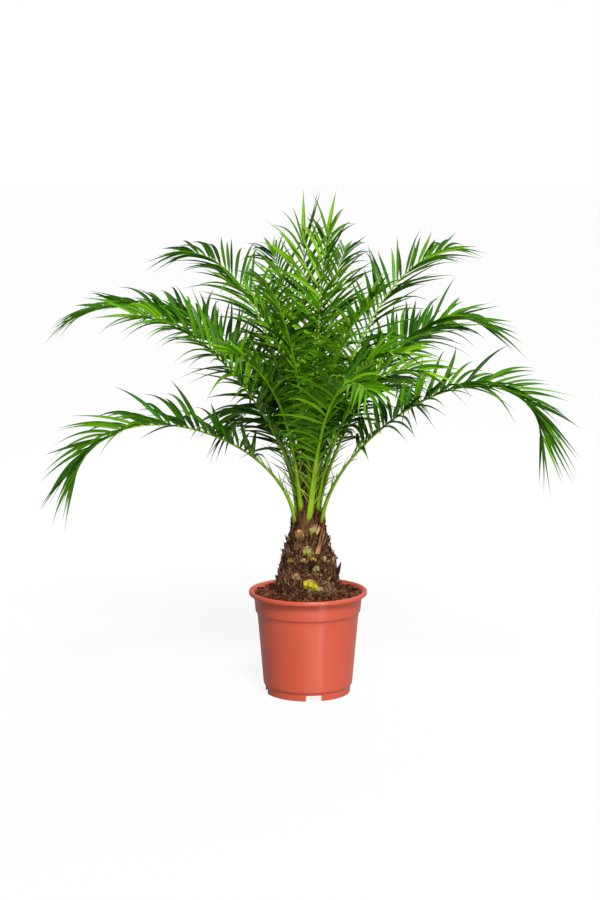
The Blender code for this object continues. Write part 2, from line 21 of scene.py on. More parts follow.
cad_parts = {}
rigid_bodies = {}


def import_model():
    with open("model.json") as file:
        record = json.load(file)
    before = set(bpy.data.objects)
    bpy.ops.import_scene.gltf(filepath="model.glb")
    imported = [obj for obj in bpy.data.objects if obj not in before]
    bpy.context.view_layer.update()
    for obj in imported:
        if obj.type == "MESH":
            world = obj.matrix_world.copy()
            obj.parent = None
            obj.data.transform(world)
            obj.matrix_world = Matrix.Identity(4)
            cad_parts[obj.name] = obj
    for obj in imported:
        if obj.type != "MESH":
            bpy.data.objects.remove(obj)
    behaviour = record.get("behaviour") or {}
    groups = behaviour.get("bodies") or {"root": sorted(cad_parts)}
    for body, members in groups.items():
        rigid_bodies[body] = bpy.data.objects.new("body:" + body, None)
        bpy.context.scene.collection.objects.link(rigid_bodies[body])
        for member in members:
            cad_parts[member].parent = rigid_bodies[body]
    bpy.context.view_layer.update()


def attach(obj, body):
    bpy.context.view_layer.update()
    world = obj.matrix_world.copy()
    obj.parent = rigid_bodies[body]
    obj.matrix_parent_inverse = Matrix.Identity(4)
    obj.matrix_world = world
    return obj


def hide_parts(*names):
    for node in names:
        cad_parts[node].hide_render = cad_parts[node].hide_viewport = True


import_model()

LOG = logging.getLogger("palm")
Item = bpy.types.Object
Mesh = bpy.types.Mesh
Material = bpy.types.Material
Colour = tuple[float, float, float]
Leans = tuple[float, float, float, float]
LineRow = tuple[Vector, Vector, float]
GOLDEN_ANGLE = 137.508
DOWN = Vector((0.0, 0.0, -1.0))
SHARP_EDGE = radians(35.0)
SHARP_FLAKE = radians(20.0)


# Helpers for points and meshes.


def polar(radius: float, azimuth: float, height: float = 0.0) -> Vector:
    """Return the point at a radius, an azimuth in degrees and a height."""
    angle = radians(azimuth)
    return Vector((radius * cos(angle), radius * sin(angle), height))


def around(count: int) -> list[float]:
    """Return azimuths spread evenly over the turn."""
    return [i * 360.0 / count for i in range(count)]


def place(name: str, mesh: Mesh) -> Item:
    """Put a mesh in the scene as an object at the origin.

    Args:
        name: The object's name.
        mesh: Its mesh.

    Returns:
        The new object.
    """
    made = bpy.data.objects.new(name, mesh)
    bpy.context.scene.collection.objects.link(made)
    return made


def outward(shape: bmesh.types.BMesh, mesh: Mesh) -> Mesh:
    """Write a shape into a mesh, with its faces turned outwards.

    Args:
        shape: The shape, which is freed.
        mesh: The mesh to write.

    Returns:
        The same mesh.
    """
    bmesh.ops.recalc_face_normals(shape, faces=shape.faces)
    shape.to_mesh(mesh)
    shape.free()
    return mesh


def lofted(name: str, rings: Sequence[Sequence[Vector]]) -> Mesh:
    """Return a closed mesh through rings of points, with both ends capped.

    Args:
        name: The mesh's name.
        rings: Rings with the same number of points each.

    Returns:
        The new mesh.
    """
    shape, count = bmesh.new(), len(rings[0])
    corners = [shape.verts.new(point) for ring in rings for point in ring]
    shape.faces.new(corners[:count])
    shape.faces.new(corners[-count:])
    for low in range(0, len(corners) - count, count):
        for i in range(count):
            here, after = low + i, low + (i + 1) % count
            shape.faces.new([corners[k] for k in (here, after, after + count, here + count)])
    return outward(shape, bpy.data.meshes.new(name))


def smooth(mesh: Mesh, angle: float = SHARP_EDGE) -> None:
    """Shade a mesh smooth, with edges over that angle kept sharp."""
    mesh.shade_smooth()
    mesh.set_sharp_from_angle(angle=angle)


def apply(item: Item, kind: str, inputs: dict[str, Any] | None = None, **settings: Any) -> Mesh:
    """Run one modifier on an object and leave its result as the object's plain mesh.

    Args:
        item: The object.
        kind: The modifier's type.
        inputs: A node tree's inputs, by socket identifier.
        settings: The modifier's own properties.

    Returns:
        The new mesh.
    """
    step = item.modifiers.new("Step", kind)
    for name, value in settings.items():
        setattr(step, name, value)
    for identifier, value in (inputs or {}).items():
        step[identifier] = value
    graph = bpy.context.evaluated_depsgraph_get()
    mesh = bpy.data.meshes.new_from_object(item.evaluated_get(graph))
    item.modifiers.clear()
    item.data = mesh
    mesh.name = item.name
    return mesh


def keep(piece: Item, slot: str, finish: Any = None, nodes: Sequence[str] = ()) -> None:
    """Hand a finished piece to the frame and report it.

    Args:
        piece: The piece, a plain mesh at the origin.
        slot: The name of the CAD node that it stands for, used where no nodes are given.
        finish: Its finish, where its mesh has none yet.
        nodes: The CAD nodes that it stands for, where that isn't the one with the slot's name.
    """
    if finish is not None:
        piece.data.materials.clear()
        piece.data.materials.append(finish.build())
    nodes = nodes or [slot]
    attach(piece, "root")
    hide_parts(*nodes)
    piece.data.calc_loop_triangles()
    LOG.info("%s: %d triangles", piece.name, len(piece.data.loop_triangles))


# Node trees.


class NodeSheet:
    """Draws a node tree: each call adds a node and wires what it is given."""

    def __init__(self, tree: bpy.types.NodeTree) -> None:
        """Start on a tree."""
        self.tree = tree

    def add(self, kind: str, wires: dict[str | int, Any] | None = None, **settings: Any) -> bpy.types.Node:
        """Add a node.

        Args:
            kind: The node's type.
            wires: What each input gets: a socket, a node or a plain value.
            settings: The node's own properties.

        Returns:
            The new node.
        """
        node = self.tree.nodes.new(kind)
        for name, value in settings.items():
            setattr(node, name, value)
        for key, value in (wires or {}).items():
            self.feed(node.inputs[key], value)
        return node

    def feed(self, socket: bpy.types.NodeSocket, value: Any) -> None:
        """Give an input a socket, a node's first output or a plain value.

        Args:
            socket: The input.
            value: What it gets.
        """
        if isinstance(value, bpy.types.Node):
            value = next(output for output in value.outputs if output.enabled)
        if isinstance(value, bpy.types.NodeSocket):
            self.tree.links.new(value, socket)
        else:
            socket.default_value = value

    def math(self, operation: str, *values: Any) -> Any:
        """Return the result of a Math node."""
        return self.add("ShaderNodeMath", dict(enumerate(values)), operation=operation).outputs[0]

    def times(self, first: Any, last: Any) -> Any:
        """Return the product of two values."""
        return self.math("MULTIPLY", first, last)


class ShaderSheet(NodeSheet):
    """Draws one material's nodes."""

    def __init__(self, name: str) -> None:
        """Start an empty material.

        Args:
            name: The material's name.
        """
        self.material = bpy.data.materials.new(name)
        self.material.use_nodes = True
        super().__init__(self.material.node_tree)
        self.tree.nodes.clear()
        self.spot = self.add("ShaderNodeTexCoord").outputs["Object"]

    def spots(self, scale: float, detail: float = 3.0, upright: float = 1.0) -> Any:
        """Add a noise.

        Args:
            scale: Its scale, per metre.
            detail: How many finer layers it has.
            upright: Its scale along Z as a share; a low one draws the spots out upright.

        Returns:
            Its value socket.
        """
        drawn = self.add("ShaderNodeMapping", {"Vector": self.spot, "Scale": (1.0, 1.0, upright)})
        made = self.add("ShaderNodeTexNoise", {"Vector": drawn, "Scale": scale, "Detail": detail})
        return made.outputs["Fac"]

    def ramp(self, value: Any, stops: Sequence[float], colours: Sequence[Colour]) -> Any:
        """Add a colour ramp.

        Args:
            value: The value socket.
            stops: Each colour's place.
            colours: The colours.

        Returns:
            Its colour socket.
        """
        node = self.add("ShaderNodeValToRGB", {"Fac": value})
        row = node.color_ramp.elements
        while len(row) < len(stops):
            row.new(0.5)
        for element, stop, colour in zip(row, stops, colours):
            element.position, element.color = stop, (*colour, 1.0)
        return node.outputs["Color"]

    def spread(self, value: Any, low: float, high: float, first: float, last: float) -> Any:
        """Return a value mapped from low..high to first..last, without going past either."""
        wires = {"Value": value, "From Min": low, "From Max": high, "To Min": first, "To Max": last}
        return self.add("ShaderNodeMapRange", wires).outputs["Result"]

    def mix(self, share: Any, first: Any, last: Any) -> Any:
        """Mix two colours, each a socket or three numbers.

        Args:
            share: How much of the last, as a socket or a number.
            first: The first.
            last: The last.

        Returns:
            The mix's socket.
        """
        node = self.add("ShaderNodeMix", data_type="RGBA")
        sockets = {socket.identifier: socket for socket in node.inputs}
        for identifier, value in (("Factor_Float", share), ("A_Color", first), ("B_Color", last)):
            self.feed(sockets[identifier], (*value, 1.0) if isinstance(value, tuple) else value)
        return next(socket for socket in node.outputs if socket.identifier == "Result_Color")

    def attribute(self, name: str) -> Any:
        """Return the value of a mesh attribute."""
        return self.add("ShaderNodeAttribute", attribute_name=name).outputs["Fac"]

    def bump(self, height: Any, strength: float, distance: float) -> Any:
        """Return a bumped normal."""
        wires = {"Height": height, "Strength": strength, "Distance": distance}
        return self.add("ShaderNodeBump", wires).outputs["Normal"]

    def finish(self, colour: Any, roughness: Any, gloss: float, more: dict[str, Any]) -> Material:
        """Close the material with a Principled shader.

        Args:
            colour: The base colour's socket.
            roughness: The roughness, as a socket or a number.
            gloss: The specular level.
            more: What other inputs of the shader get.

        Returns:
            The finished material.
        """
        wires = {"Base Color": colour, "Roughness": roughness, "Specular IOR Level": gloss, **more}
        shader = self.add("ShaderNodeBsdfPrincipled", wires)
        self.add("ShaderNodeOutputMaterial", {"Surface": shader.outputs["BSDF"]})
        return self.material


# Guides and the Geometry Nodes recipes that turn them into pieces.


class Guide:
    """Points, or lines of points, that carry the values a recipe reads."""

    def __init__(self) -> None:
        """Start with no points."""
        self.points: list[Vector] = []
        self.edges: list[tuple[int, int]] = []
        self.values: dict[str, list[Any]] = {}

    def add(self, point: Vector, **values: Any) -> None:
        """Add one point with its values.

        Args:
            point: Where it is.
            values: What it carries, by name.
        """
        self.points.append(point)
        for name, value in values.items():
            self.values.setdefault(name, []).append(value)

    def copy(self, point: Vector, turn: Sequence[float], size: Sequence[float]) -> None:
        """Ask for a copy of the pattern at a point, with its turn and size."""
        self.add(point, turn=Vector(turn), size=Vector(size))

    def blade(self, root: Vector, **values: Any) -> None:
        """Ask for a blade from its root, with the ways it runs, its length and its width."""
        self.add(root, root=root, **values)

    def line(self, rows: Sequence[LineRow]) -> None:
        """Add a line of points.

        Args:
            rows: Each point with the way its flat side faces and its half width.
        """
        start = len(self.points)
        for point, upper, girth in rows:
            self.add(point, upper=upper, girth=girth)
        self.edges += [(i, i + 1) for i in range(start, len(self.points) - 1)]

    def mesh(self, name: str) -> Mesh:
        """Return the guide as a mesh with attributes.

        Args:
            name: The mesh's name.

        Returns:
            Its points and edges, with an attribute for each value.
        """
        mesh = bpy.data.meshes.new(name)
        mesh.from_pydata([tuple(point) for point in self.points], self.edges, [])
        for key, rows in self.values.items():
            wide = isinstance(rows[0], Vector)
            store = mesh.attributes.new(key, "FLOAT_VECTOR" if wide else "FLOAT", "POINT")
            flat = np.array([tuple(row) if wide else row for row in rows], np.float32).ravel()
            store.data.foreach_set("vector" if wide else "value", flat)
        return mesh


class Recipe(NodeSheet):
    """A Geometry Nodes tree with named inputs that makes a piece from a guide."""

    def __init__(self, name: str) -> None:
        """Start a tree with a guide to read, a finish and a piece to make.

        Args:
            name: The tree's name.
        """
        super().__init__(bpy.data.node_groups.new(name, "GeometryNodeTree"))
        for socket, way in (("Guide", "INPUT"), ("Piece", "OUTPUT")):
            self.tree.interface.new_socket(name=socket, in_out=way, socket_type="NodeSocketGeometry")
        self.start = self.add("NodeGroupInput")
        self.names: dict[str, str] = {}
        self.finish = self.entry("Finish", "NodeSocketMaterial")

    def entry(self, name: str, kind: str = "NodeSocketFloat", default: Any = None) -> Any:
        """Add a named input.

        Args:
            name: Its name.
            kind: Its socket type.
            default: Its value where a piece sets none.

        Returns:
            Its socket inside the tree.
        """
        socket = self.tree.interface.new_socket(name=name, in_out="INPUT", socket_type=kind)
        if default is not None:
            socket.default_value = default
        self.names[name] = socket.identifier
        return self.start.outputs[name]

    def read(self, name: str, kind: str = "FLOAT_VECTOR") -> Any:
        """Return a named attribute of the guide."""
        node = self.add("GeometryNodeInputNamedAttribute", {"Name": name}, data_type=kind)
        return node.outputs["Attribute"]

    def store(self, geometry: Any, name: str, value: Any, kind: str = "FLOAT") -> Any:
        """Store a value on a geometry's points.

        Args:
            geometry: The geometry.
            name: The attribute's name.
            value: The value.
            kind: Its type.

        Returns:
            The geometry that carries it.
        """
        node = self.add("GeometryNodeStoreNamedAttribute", data_type=kind, domain="POINT")
        for key, given in (("Geometry", geometry), ("Name", name), ("Value", value)):
            self.feed(next(s for s in node.inputs if s.name == key and s.enabled), given)
        return node.outputs["Geometry"]

    def vector(self, operation: str, first: Any, last: Any = None) -> Any:
        """Return the vector result of a Vector Math node."""
        wires = {0: first} if last is None else {0: first, 1: last}
        return self.add("ShaderNodeVectorMath", wires, operation=operation).outputs["Vector"]

    def scaled(self, vector: Any, share: Any) -> Any:
        """Return a vector times a value."""
        wires = {"Vector": vector, "Scale": share}
        return self.add("ShaderNodeVectorMath", wires, operation="SCALE").outputs["Vector"]

    def copies(self, shape: Any, **wires: Any) -> bpy.types.Node:
        """Return copies of a shape on the guide's points."""
        wires |= {"Points": self.start.outputs["Guide"], "Instance": shape}
        return self.add("GeometryNodeInstanceOnPoints", wires)

    def serve(self, geometry: Any) -> None:
        """End the tree: real geometry, shaded smooth, in its material.

        Args:
            geometry: The finished shape.
        """
        real = self.add("GeometryNodeRealizeInstances", {"Geometry": geometry})
        shaded = self.add("GeometryNodeSetShadeSmooth", {"Geometry": real})
        dressed = self.add("GeometryNodeSetMaterial", {"Geometry": shaded, "Material": self.finish})
        self.add("NodeGroupOutput", {"Piece": dressed})

    def make(
        self,
        name: str,
        guide: Guide,
        slot: str,
        finish: Any,
        nodes: Sequence[str] = (),
        angle: float = SHARP_EDGE,
        **values: Any,
    ) -> None:
        """Run the tree on a guide and hand the result to the frame as a plain mesh.

        Args:
            name: The piece's name.
            guide: Its points or lines.
            slot: The name of the CAD node that it stands for, used where no nodes are given.
            finish: Its finish.
            nodes: The CAD nodes that it stands for, where that isn't the one with the slot's name.
            angle: Edges over this angle stay sharp.
            values: The tree's other inputs, by name.
        """
        piece = place(name, guide.mesh(name + "_guide"))
        values["Finish"] = finish.build()
        inputs = {self.names[key]: value for key, value in values.items()}
        apply(piece, "NODES", inputs, node_group=self.tree).set_sharp_from_angle(angle=angle)
        keep(piece, slot, nodes=nodes)


class BladeRecipe(Recipe):
    """Long pointed blades, folded along the middle, on arching lines."""

    # The blade's half width along its length, as shares of both.
    OUTLINE = (
        (0.0, 0.34), (0.06, 0.60), (0.18, 0.94), (0.34, 1.0),
        (0.52, 0.82), (0.70, 0.50), (0.86, 0.20), (1.0, 0.02),
    )

    def __init__(self) -> None:
        """Draw the tree."""
        super().__init__("blades")
        stations = self.entry("Stations", "NodeSocketInt", 12)
        fold = self.entry("Fold", default=0.58)
        thickness = self.entry("Thickness", default=0.0008)
        sizes = {"Vertices": 4, "Side Segments": stations, "Radius": 1.0, "Depth": 1.0}
        rod = self.add("GeometryNodeMeshCylinder", sizes, fill_type="NGON").outputs["Mesh"]
        rod = self.store(rod, "shape", self.add("GeometryNodeInputPosition"), "FLOAT_VECTOR")
        real = self.add("GeometryNodeRealizeInstances", {"Geometry": self.copies(rod)})
        shape = self.add("ShaderNodeSeparateXYZ", {"Vector": self.read("shape")})
        x, y = shape.outputs["X"], shape.outputs["Y"]
        u = self.math("ADD", shape.outputs["Z"], 0.5)
        heading, bend, curl, wide = (self.read(name) for name in ("heading", "bend", "curl", "wide"))
        length, width = self.read("length", "FLOAT"), self.read("width", "FLOAT")

        arch = self.scaled(self.vector("ADD", bend, self.scaled(curl, u)), u)
        arc = self.scaled(self.vector("ADD", heading, arch), self.times(u, length))
        turn = self.scaled(self.vector("ADD", bend, self.scaled(curl, self.times(u, 1.5))), u)
        way = self.vector("ADD", heading, self.scaled(turn, 2.0))
        raised = self.vector("NORMALIZE", self.vector("CROSS_PRODUCT", way, wide))
        outline = self.add("ShaderNodeFloatCurve", {"Value": u})
        row = outline.mapping.curves[0].points
        row[0].location, row[1].location = self.OUTLINE[0], self.OUTLINE[-1]
        for spot in self.OUTLINE[1:-1]:
            row.new(*spot)
        outline.mapping.update()
        half = self.times(self.times(outline.outputs["Value"], width), 0.5)
        aside = self.times(self.times(x, half), self.math("COSINE", fold))
        lift = self.times(self.math("ABSOLUTE", x), self.times(half, self.math("SINE", fold)))
        body = self.times(y, self.times(thickness, outline.outputs["Value"]))
        off = self.vector("ADD", self.scaled(wide, aside), self.scaled(raised, self.math("ADD", lift, body)))
        where = self.vector("ADD", self.vector("ADD", self.read("root"), arc), off)
        moved = self.add("GeometryNodeSetPosition", {"Geometry": real, "Position": where})
        marked = self.store(moved.outputs["Geometry"], "across", x)
        self.serve(self.store(marked, "along", u))


class LimbRecipe(Recipe):
    """Ribs, stems and strands: a flattened round section along each line."""

    def __init__(self) -> None:
        """Draw the tree."""
        super().__init__("limbs")
        sides = self.entry("Sides", "NodeSocketInt", 10)
        flatness = self.entry("Flatness", default=0.6)
        lines = self.add("GeometryNodeMeshToCurve", {"Mesh": self.start.outputs["Guide"]})
        wires = {"Curve": lines, "Normal": self.read("upper")}
        faced = self.add("GeometryNodeSetCurveNormal", wires, mode="FREE")
        circle = self.add("GeometryNodeCurvePrimitiveCircle", {"Resolution": sides, "Radius": 1.0})
        flat = self.add("ShaderNodeCombineXYZ", {"X": flatness, "Y": 1.0, "Z": 1.0})
        section = self.add("GeometryNodeTransform", {"Geometry": circle, "Scale": flat})
        girth = self.read("girth", "FLOAT")
        wires = {"Curve": faced, "Profile Curve": section, "Scale": girth, "Fill Caps": True}
        self.serve(self.add("GeometryNodeCurveToMesh", wires))


class ScatterRecipe(Recipe):
    """Copies of one small shape, each with its own turn and size."""

    def __init__(self) -> None:
        """Draw the tree."""
        super().__init__("scatter")
        pattern = self.entry("Pattern", "NodeSocketObject")
        shape = self.add("GeometryNodeObjectInfo", {"Object": pattern}).outputs["Geometry"]
        turn = self.add("FunctionNodeEulerToRotation", {"Euler": self.read("turn")})
        self.serve(self.copies(shape, Rotation=turn, Scale=self.read("size")))


@dataclass
class Workshop:
    """The three recipes that the plant's pieces share."""

    blades: BladeRecipe = field(default_factory=BladeRecipe)
    limbs: LimbRecipe = field(default_factory=LimbRecipe)
    scatter: ScatterRecipe = field(default_factory=ScatterRecipe)


# Finishes. Colours are linear red, green and blue.


@dataclass(frozen=True)
class MouldedPlastic:
    """Satin terracotta plastic, a little cloudy, whose sheen the mould's marks draw out upright."""

    base: Colour = (0.472, 0.070, 0.034)
    faded: Colour = (0.510, 0.088, 0.045)
    roughness: float = 0.38
    gloss: float = 0.45
    drawn_out: float = 0.85

    def build(self) -> Material:
        """Draw the material.

        Returns:
            The finished material.
        """
        sheet = ShaderSheet("terracotta_plastic")
        cloud, streak, scuff = sheet.spots(14.0, 4.0), sheet.spots(60.0, 5.0, 0.12), sheet.spots(420.0, 6.0)
        colour = sheet.mix(sheet.spread(cloud, 0.35, 0.70, 0.0, 0.55), self.base, self.faded)
        colour = sheet.mix(sheet.spread(streak, 0.52, 0.75, 0.0, 0.35), colour, self.faded)
        wear = sheet.math("ADD", sheet.times(scuff, 0.12), self.roughness - 0.06)
        round_about = sheet.add("ShaderNodeTangent", direction_type="RADIAL", axis="Z")
        brushed = {"Anisotropic": self.drawn_out, "Anisotropic Rotation": 0.25, "Tangent": round_about}
        return sheet.finish(colour, wear, self.gloss, {"Normal": sheet.bump(scuff, 0.04, 0.0003), **brushed})


@dataclass(frozen=True)
class Peat:
    """Crumbly potting mix: fine grain and coarser patches share out a row of tones."""

    name: str
    tones: tuple[Colour, ...]
    grain: float = 260.0
    upright: float = 1.0
    patches: tuple[float, float] = (45.0, 3.0)
    fine: float = 0.75
    stops: tuple[float, ...] = (0.36, 0.64)
    roughness: float = 0.95
    gloss: float = 0.06
    relief: tuple[float, float] = (0.8, 0.002)

    def build(self) -> Material:
        """Draw the material.

        Returns:
            The finished material.
        """
        sheet = ShaderSheet(self.name)
        grain, patches = sheet.spots(self.grain, 6.0, self.upright), sheet.spots(*self.patches)
        share = sheet.math("ADD", sheet.times(grain, self.fine), sheet.times(patches, 1.0 - self.fine))
        colour = sheet.ramp(share, self.stops, self.tones)
        return sheet.finish(colour, self.roughness, self.gloss, {"Normal": sheet.bump(grain, *self.relief)})


@dataclass(frozen=True)
class Fibre(Peat):
    """Dry brown leaf-base fibre, streaked along the trunk."""

    grain: float = 230.0
    upright: float = 0.16
    patches: tuple[float, float] = (38.0, 4.0)
    fine: float = 0.65
    stops: tuple[float, ...] = (0.34, 0.50, 0.68)
    roughness: float = 0.88
    gloss: float = 0.10
    relief: tuple[float, float] = (0.9, 0.0015)


@dataclass(frozen=True)
class OldLeafBase:
    """The cut base of an old leaf: one tone at its foot, another at its cut, with dry streaks."""

    name: str
    foot: Colour
    cut: Colour
    dry: Colour

    def build(self) -> Material:
        """Draw the material.

        Returns:
            The finished material.
        """
        sheet = ShaderSheet(self.name)
        streaks, patches = sheet.spots(300.0, 5.0, 0.45), sheet.spots(150.0, 4.0)
        up = sheet.math("ADD", sheet.attribute("up"), sheet.times(patches, 0.9))
        colour = sheet.mix(sheet.spread(up, 0.80, 1.30, 0.0, 1.0), self.foot, self.cut)
        colour = sheet.mix(sheet.spread(streaks, 0.47, 0.60, 0.0, 0.85), colour, self.dry)
        return sheet.finish(colour, 0.65, 0.20, {"Normal": sheet.bump(streaks, 0.6, 0.001)})


@dataclass(frozen=True)
class LeafBlade:
    """A leaflet's green: satin, with a paler middle line, clouded tones and a drier tip."""

    name: str
    base: Colour
    roughness: float = 0.40

    def build(self) -> Material:
        """Draw the material.

        Returns:
            The finished material.
        """
        sheet = ShaderSheet(self.name)
        pale = tuple(min(1.0, 1.5 * channel + 0.006) for channel in self.base)
        deep = tuple(0.70 * channel for channel in self.base)
        colour = sheet.mix(sheet.spread(sheet.spots(30.0), 0.35, 0.68, 0.0, 1.0), deep, self.base)
        middle = sheet.math("ABSOLUTE", sheet.attribute("across"))
        colour = sheet.mix(sheet.spread(middle, 0.05, 0.30, 0.75, 0.0), colour, pale)
        tip = sheet.spread(sheet.attribute("along"), 0.90, 1.0, 0.0, 0.45)
        return sheet.finish(sheet.mix(tip, colour, (0.17, 0.20, 0.020)), self.roughness, 0.07, {})


@dataclass(frozen=True)
class LeafRib:
    """The smooth green of petioles and ribs, a little mottled."""

    name: str
    base: Colour
    pale: Colour

    def build(self) -> Material:
        """Draw the material.

        Returns:
            The finished material.
        """
        sheet = ShaderSheet(self.name)
        mottle, lines = sheet.spots(55.0, 4.0, 0.4), sheet.spots(700.0, 3.0, 0.05)
        colour = sheet.mix(sheet.spread(mottle, 0.38, 0.66, 0.0, 1.0), self.base, self.pale)
        return sheet.finish(colour, 0.38, 0.16, {"Normal": sheet.bump(lines, 0.25, 0.0004)})


@dataclass(frozen=True)
class PaleFloor:
    """A plain pale studio floor that the camera sees nearly white."""

    base: Colour = (0.34, 0.34, 0.34)
    whiteness: float = 0.80
    glow: float = 1.12

    def build(self) -> Material:
        """Draw the material.

        Returns:
            The finished material.
        """
        sheet = ShaderSheet("pale_floor")
        seen = sheet.add("ShaderNodeLightPath").outputs["Is Camera Ray"]
        lit = sheet.add("ShaderNodeBsdfDiffuse", {"Color": (*self.base, 1.0)})
        white = sheet.add("ShaderNodeEmission", {"Color": (1.0, 1.0, 1.0, 1.0), "Strength": self.glow})
        both = sheet.add("ShaderNodeMixShader", {0: sheet.times(seen, self.whiteness), 1: lit, 2: white})
        sheet.add("ShaderNodeOutputMaterial", {"Surface": both})
        return sheet.material


# The pot and its soil.


@dataclass
class NurseryPot:
    """A 19 cm nursery pot: rolled lip, band, step, tapered wall and a notched foot ring."""

    height: float = 0.167
    lip_radius: float = 0.095
    lip_width: float = 0.0065
    lip_height: float = 0.0065
    band_top: float = 0.0868
    band_foot: float = 0.0842
    band_foot_height: float = 0.1335
    step_drop: float = 0.0035
    wall_top: float = 0.0817
    wall_foot: float = 0.0713
    wall_foot_height: float = 0.015
    foot_radius: float = 0.068
    foot_height: float = 0.0105
    wall: float = 0.0021
    floor: float = 0.0024
    puck: float = 0.010
    sides: int = 180
    fillet_steps: int = 5
    fillet_share: float = 0.45
    weld: float = 0.00001
    notch_count: int = 4
    notch_azimuth: float = 8.0
    notch_width: float = 0.025
    notch_height: float = 0.0095
    notch_corner: float = 0.0018

    def corners(self) -> list[tuple[float, float, float]]:
        """Lay out the corners of the pot's closed line, up its inside and down its outside.

        Returns:
            Rows of radius, height and the length of the rounding.
        """
        wall, small, fine = self.wall, 0.0012, 0.0005
        under_step, over_foot = 0.006, 0.004
        floor_top = self.foot_height + self.floor
        lip_foot = self.height - self.lip_height
        lip_inner = self.lip_radius - self.lip_width
        step_foot = self.band_foot_height - self.step_drop
        return [
            (0.0, floor_top, 0.0),
            (self.wall_foot - wall - small, floor_top, small),
            (self.wall_foot - wall, self.wall_foot_height + small, fine),
            (self.wall_top - wall, step_foot, small),
            (self.band_foot - wall, self.band_foot_height, small),
            (self.band_top - wall, lip_foot, small),
            (lip_inner, self.height - small / 2, small),
            (lip_inner + self.lip_width / 2, self.height, 2 * small),
            (self.lip_radius - small / 2, self.height - small / 2, 1.5 * small),
            (self.lip_radius, self.height - self.lip_height / 2, 2 * small),
            (self.lip_radius - fine, lip_foot, fine * 1.5),
            (self.band_top + fine, lip_foot + fine, fine),
            (self.band_top, lip_foot - 2 * fine, fine),
            (self.band_foot, self.band_foot_height, fine),
            (self.wall_top, step_foot, 2 * fine),
            (self.wall_top - 2 * fine, step_foot - under_step, fine),
            (self.wall_foot + fine, self.wall_foot_height + over_foot, fine),
            (self.wall_foot, self.wall_foot_height, fine),
            (self.foot_radius + fine, self.foot_height, fine),
            (self.foot_radius, fine, fine),
            (self.foot_radius - wall / 2, 0.0, fine),
            (self.foot_radius - wall, fine, fine),
            (self.foot_radius - wall, self.foot_height, fine),
            (self.puck + fine, self.foot_height, fine),
            (self.puck, 0.0, fine),
            (0.0, 0.0, 0.0),
        ]

    def profile(self) -> list[tuple[float, float, float]]:
        """Round the closed line's corners.

        Returns:
            Its points, at no depth.
        """
        line, corners = [], self.corners()
        for index, (radius, height, reach) in enumerate(corners):
            here = np.array((radius, height))
            if reach <= 0.0:
                line.append((radius, 0.0, height))
                continue
            ends = []
            for other in (corners[index - 1], corners[index + 1]):
                away = np.array(other[:2]) - here
                span = float(np.linalg.norm(away))
                ends.append(here + away * min(reach, self.fillet_share * span) / span)
            for step in range(self.fillet_steps + 1):
                s = step / self.fillet_steps
                spot = (1 - s) ** 2 * ends[0] + 2 * s * (1 - s) * here + s * s * ends[1]
                line.append((float(spot[0]), 0.0, float(spot[1])))
        return line

    def build(self) -> None:
        """Build the pot: one turned shell with its notches cut."""
        points = self.profile()
        mesh = bpy.data.meshes.new("nursery_pot")
        mesh.from_pydata(points, [(i, i + 1) for i in range(len(points) - 1)], [])
        pot = place("nursery_pot", mesh)
        turns = {"steps": self.sides, "render_steps": self.sides}
        turned = apply(pot, "SCREW", **turns, use_merge_vertices=True, merge_threshold=self.weld)
        shape = bmesh.new()
        shape.from_mesh(turned)
        bmesh.ops.remove_doubles(shape, verts=shape.verts, dist=self.weld / 2)
        outward(shape, turned)
        cutters = bpy.data.collections.new("notch_cutters")
        bpy.context.scene.collection.children.link(cutters)
        for azimuth in around(self.notch_count):
            cutters.objects.link(self.notch(self.notch_azimuth + azimuth))
        smooth(apply(pot, "BOOLEAN", operand_type="COLLECTION", collection=cutters, solver="EXACT"))
        for cutter in list(cutters.objects):
            bpy.data.objects.remove(cutter, do_unlink=True)
        bpy.data.collections.remove(cutters)
        keep(pot, "pot", MouldedPlastic())

    def notch(self, azimuth: float) -> Item:
        """Make the cutter of one drain notch, with rounded upper corners.

        Args:
            azimuth: Its place round the foot, in degrees.

        Returns:
            The cutter, in no collection yet.
        """
        half, top, corner = self.notch_width / 2, self.notch_height, self.notch_corner
        right = [(half, top - corner), (half - corner / 3, top - corner / 3), (half - corner, top)]
        outline = [(-half, -top), (half, -top), *right, *((-y, z) for y, z in reversed(right))]
        turn, rings = Matrix.Rotation(radians(azimuth), 3, "Z"), []
        for depth in (-self.wall * 2, self.wall * 2.5):
            radius = self.foot_radius - self.wall / 2 + depth
            rings.append([turn @ Vector((radius, y, z)) for y, z in outline])
        return bpy.data.objects.new("notch", lofted("notch", rings))


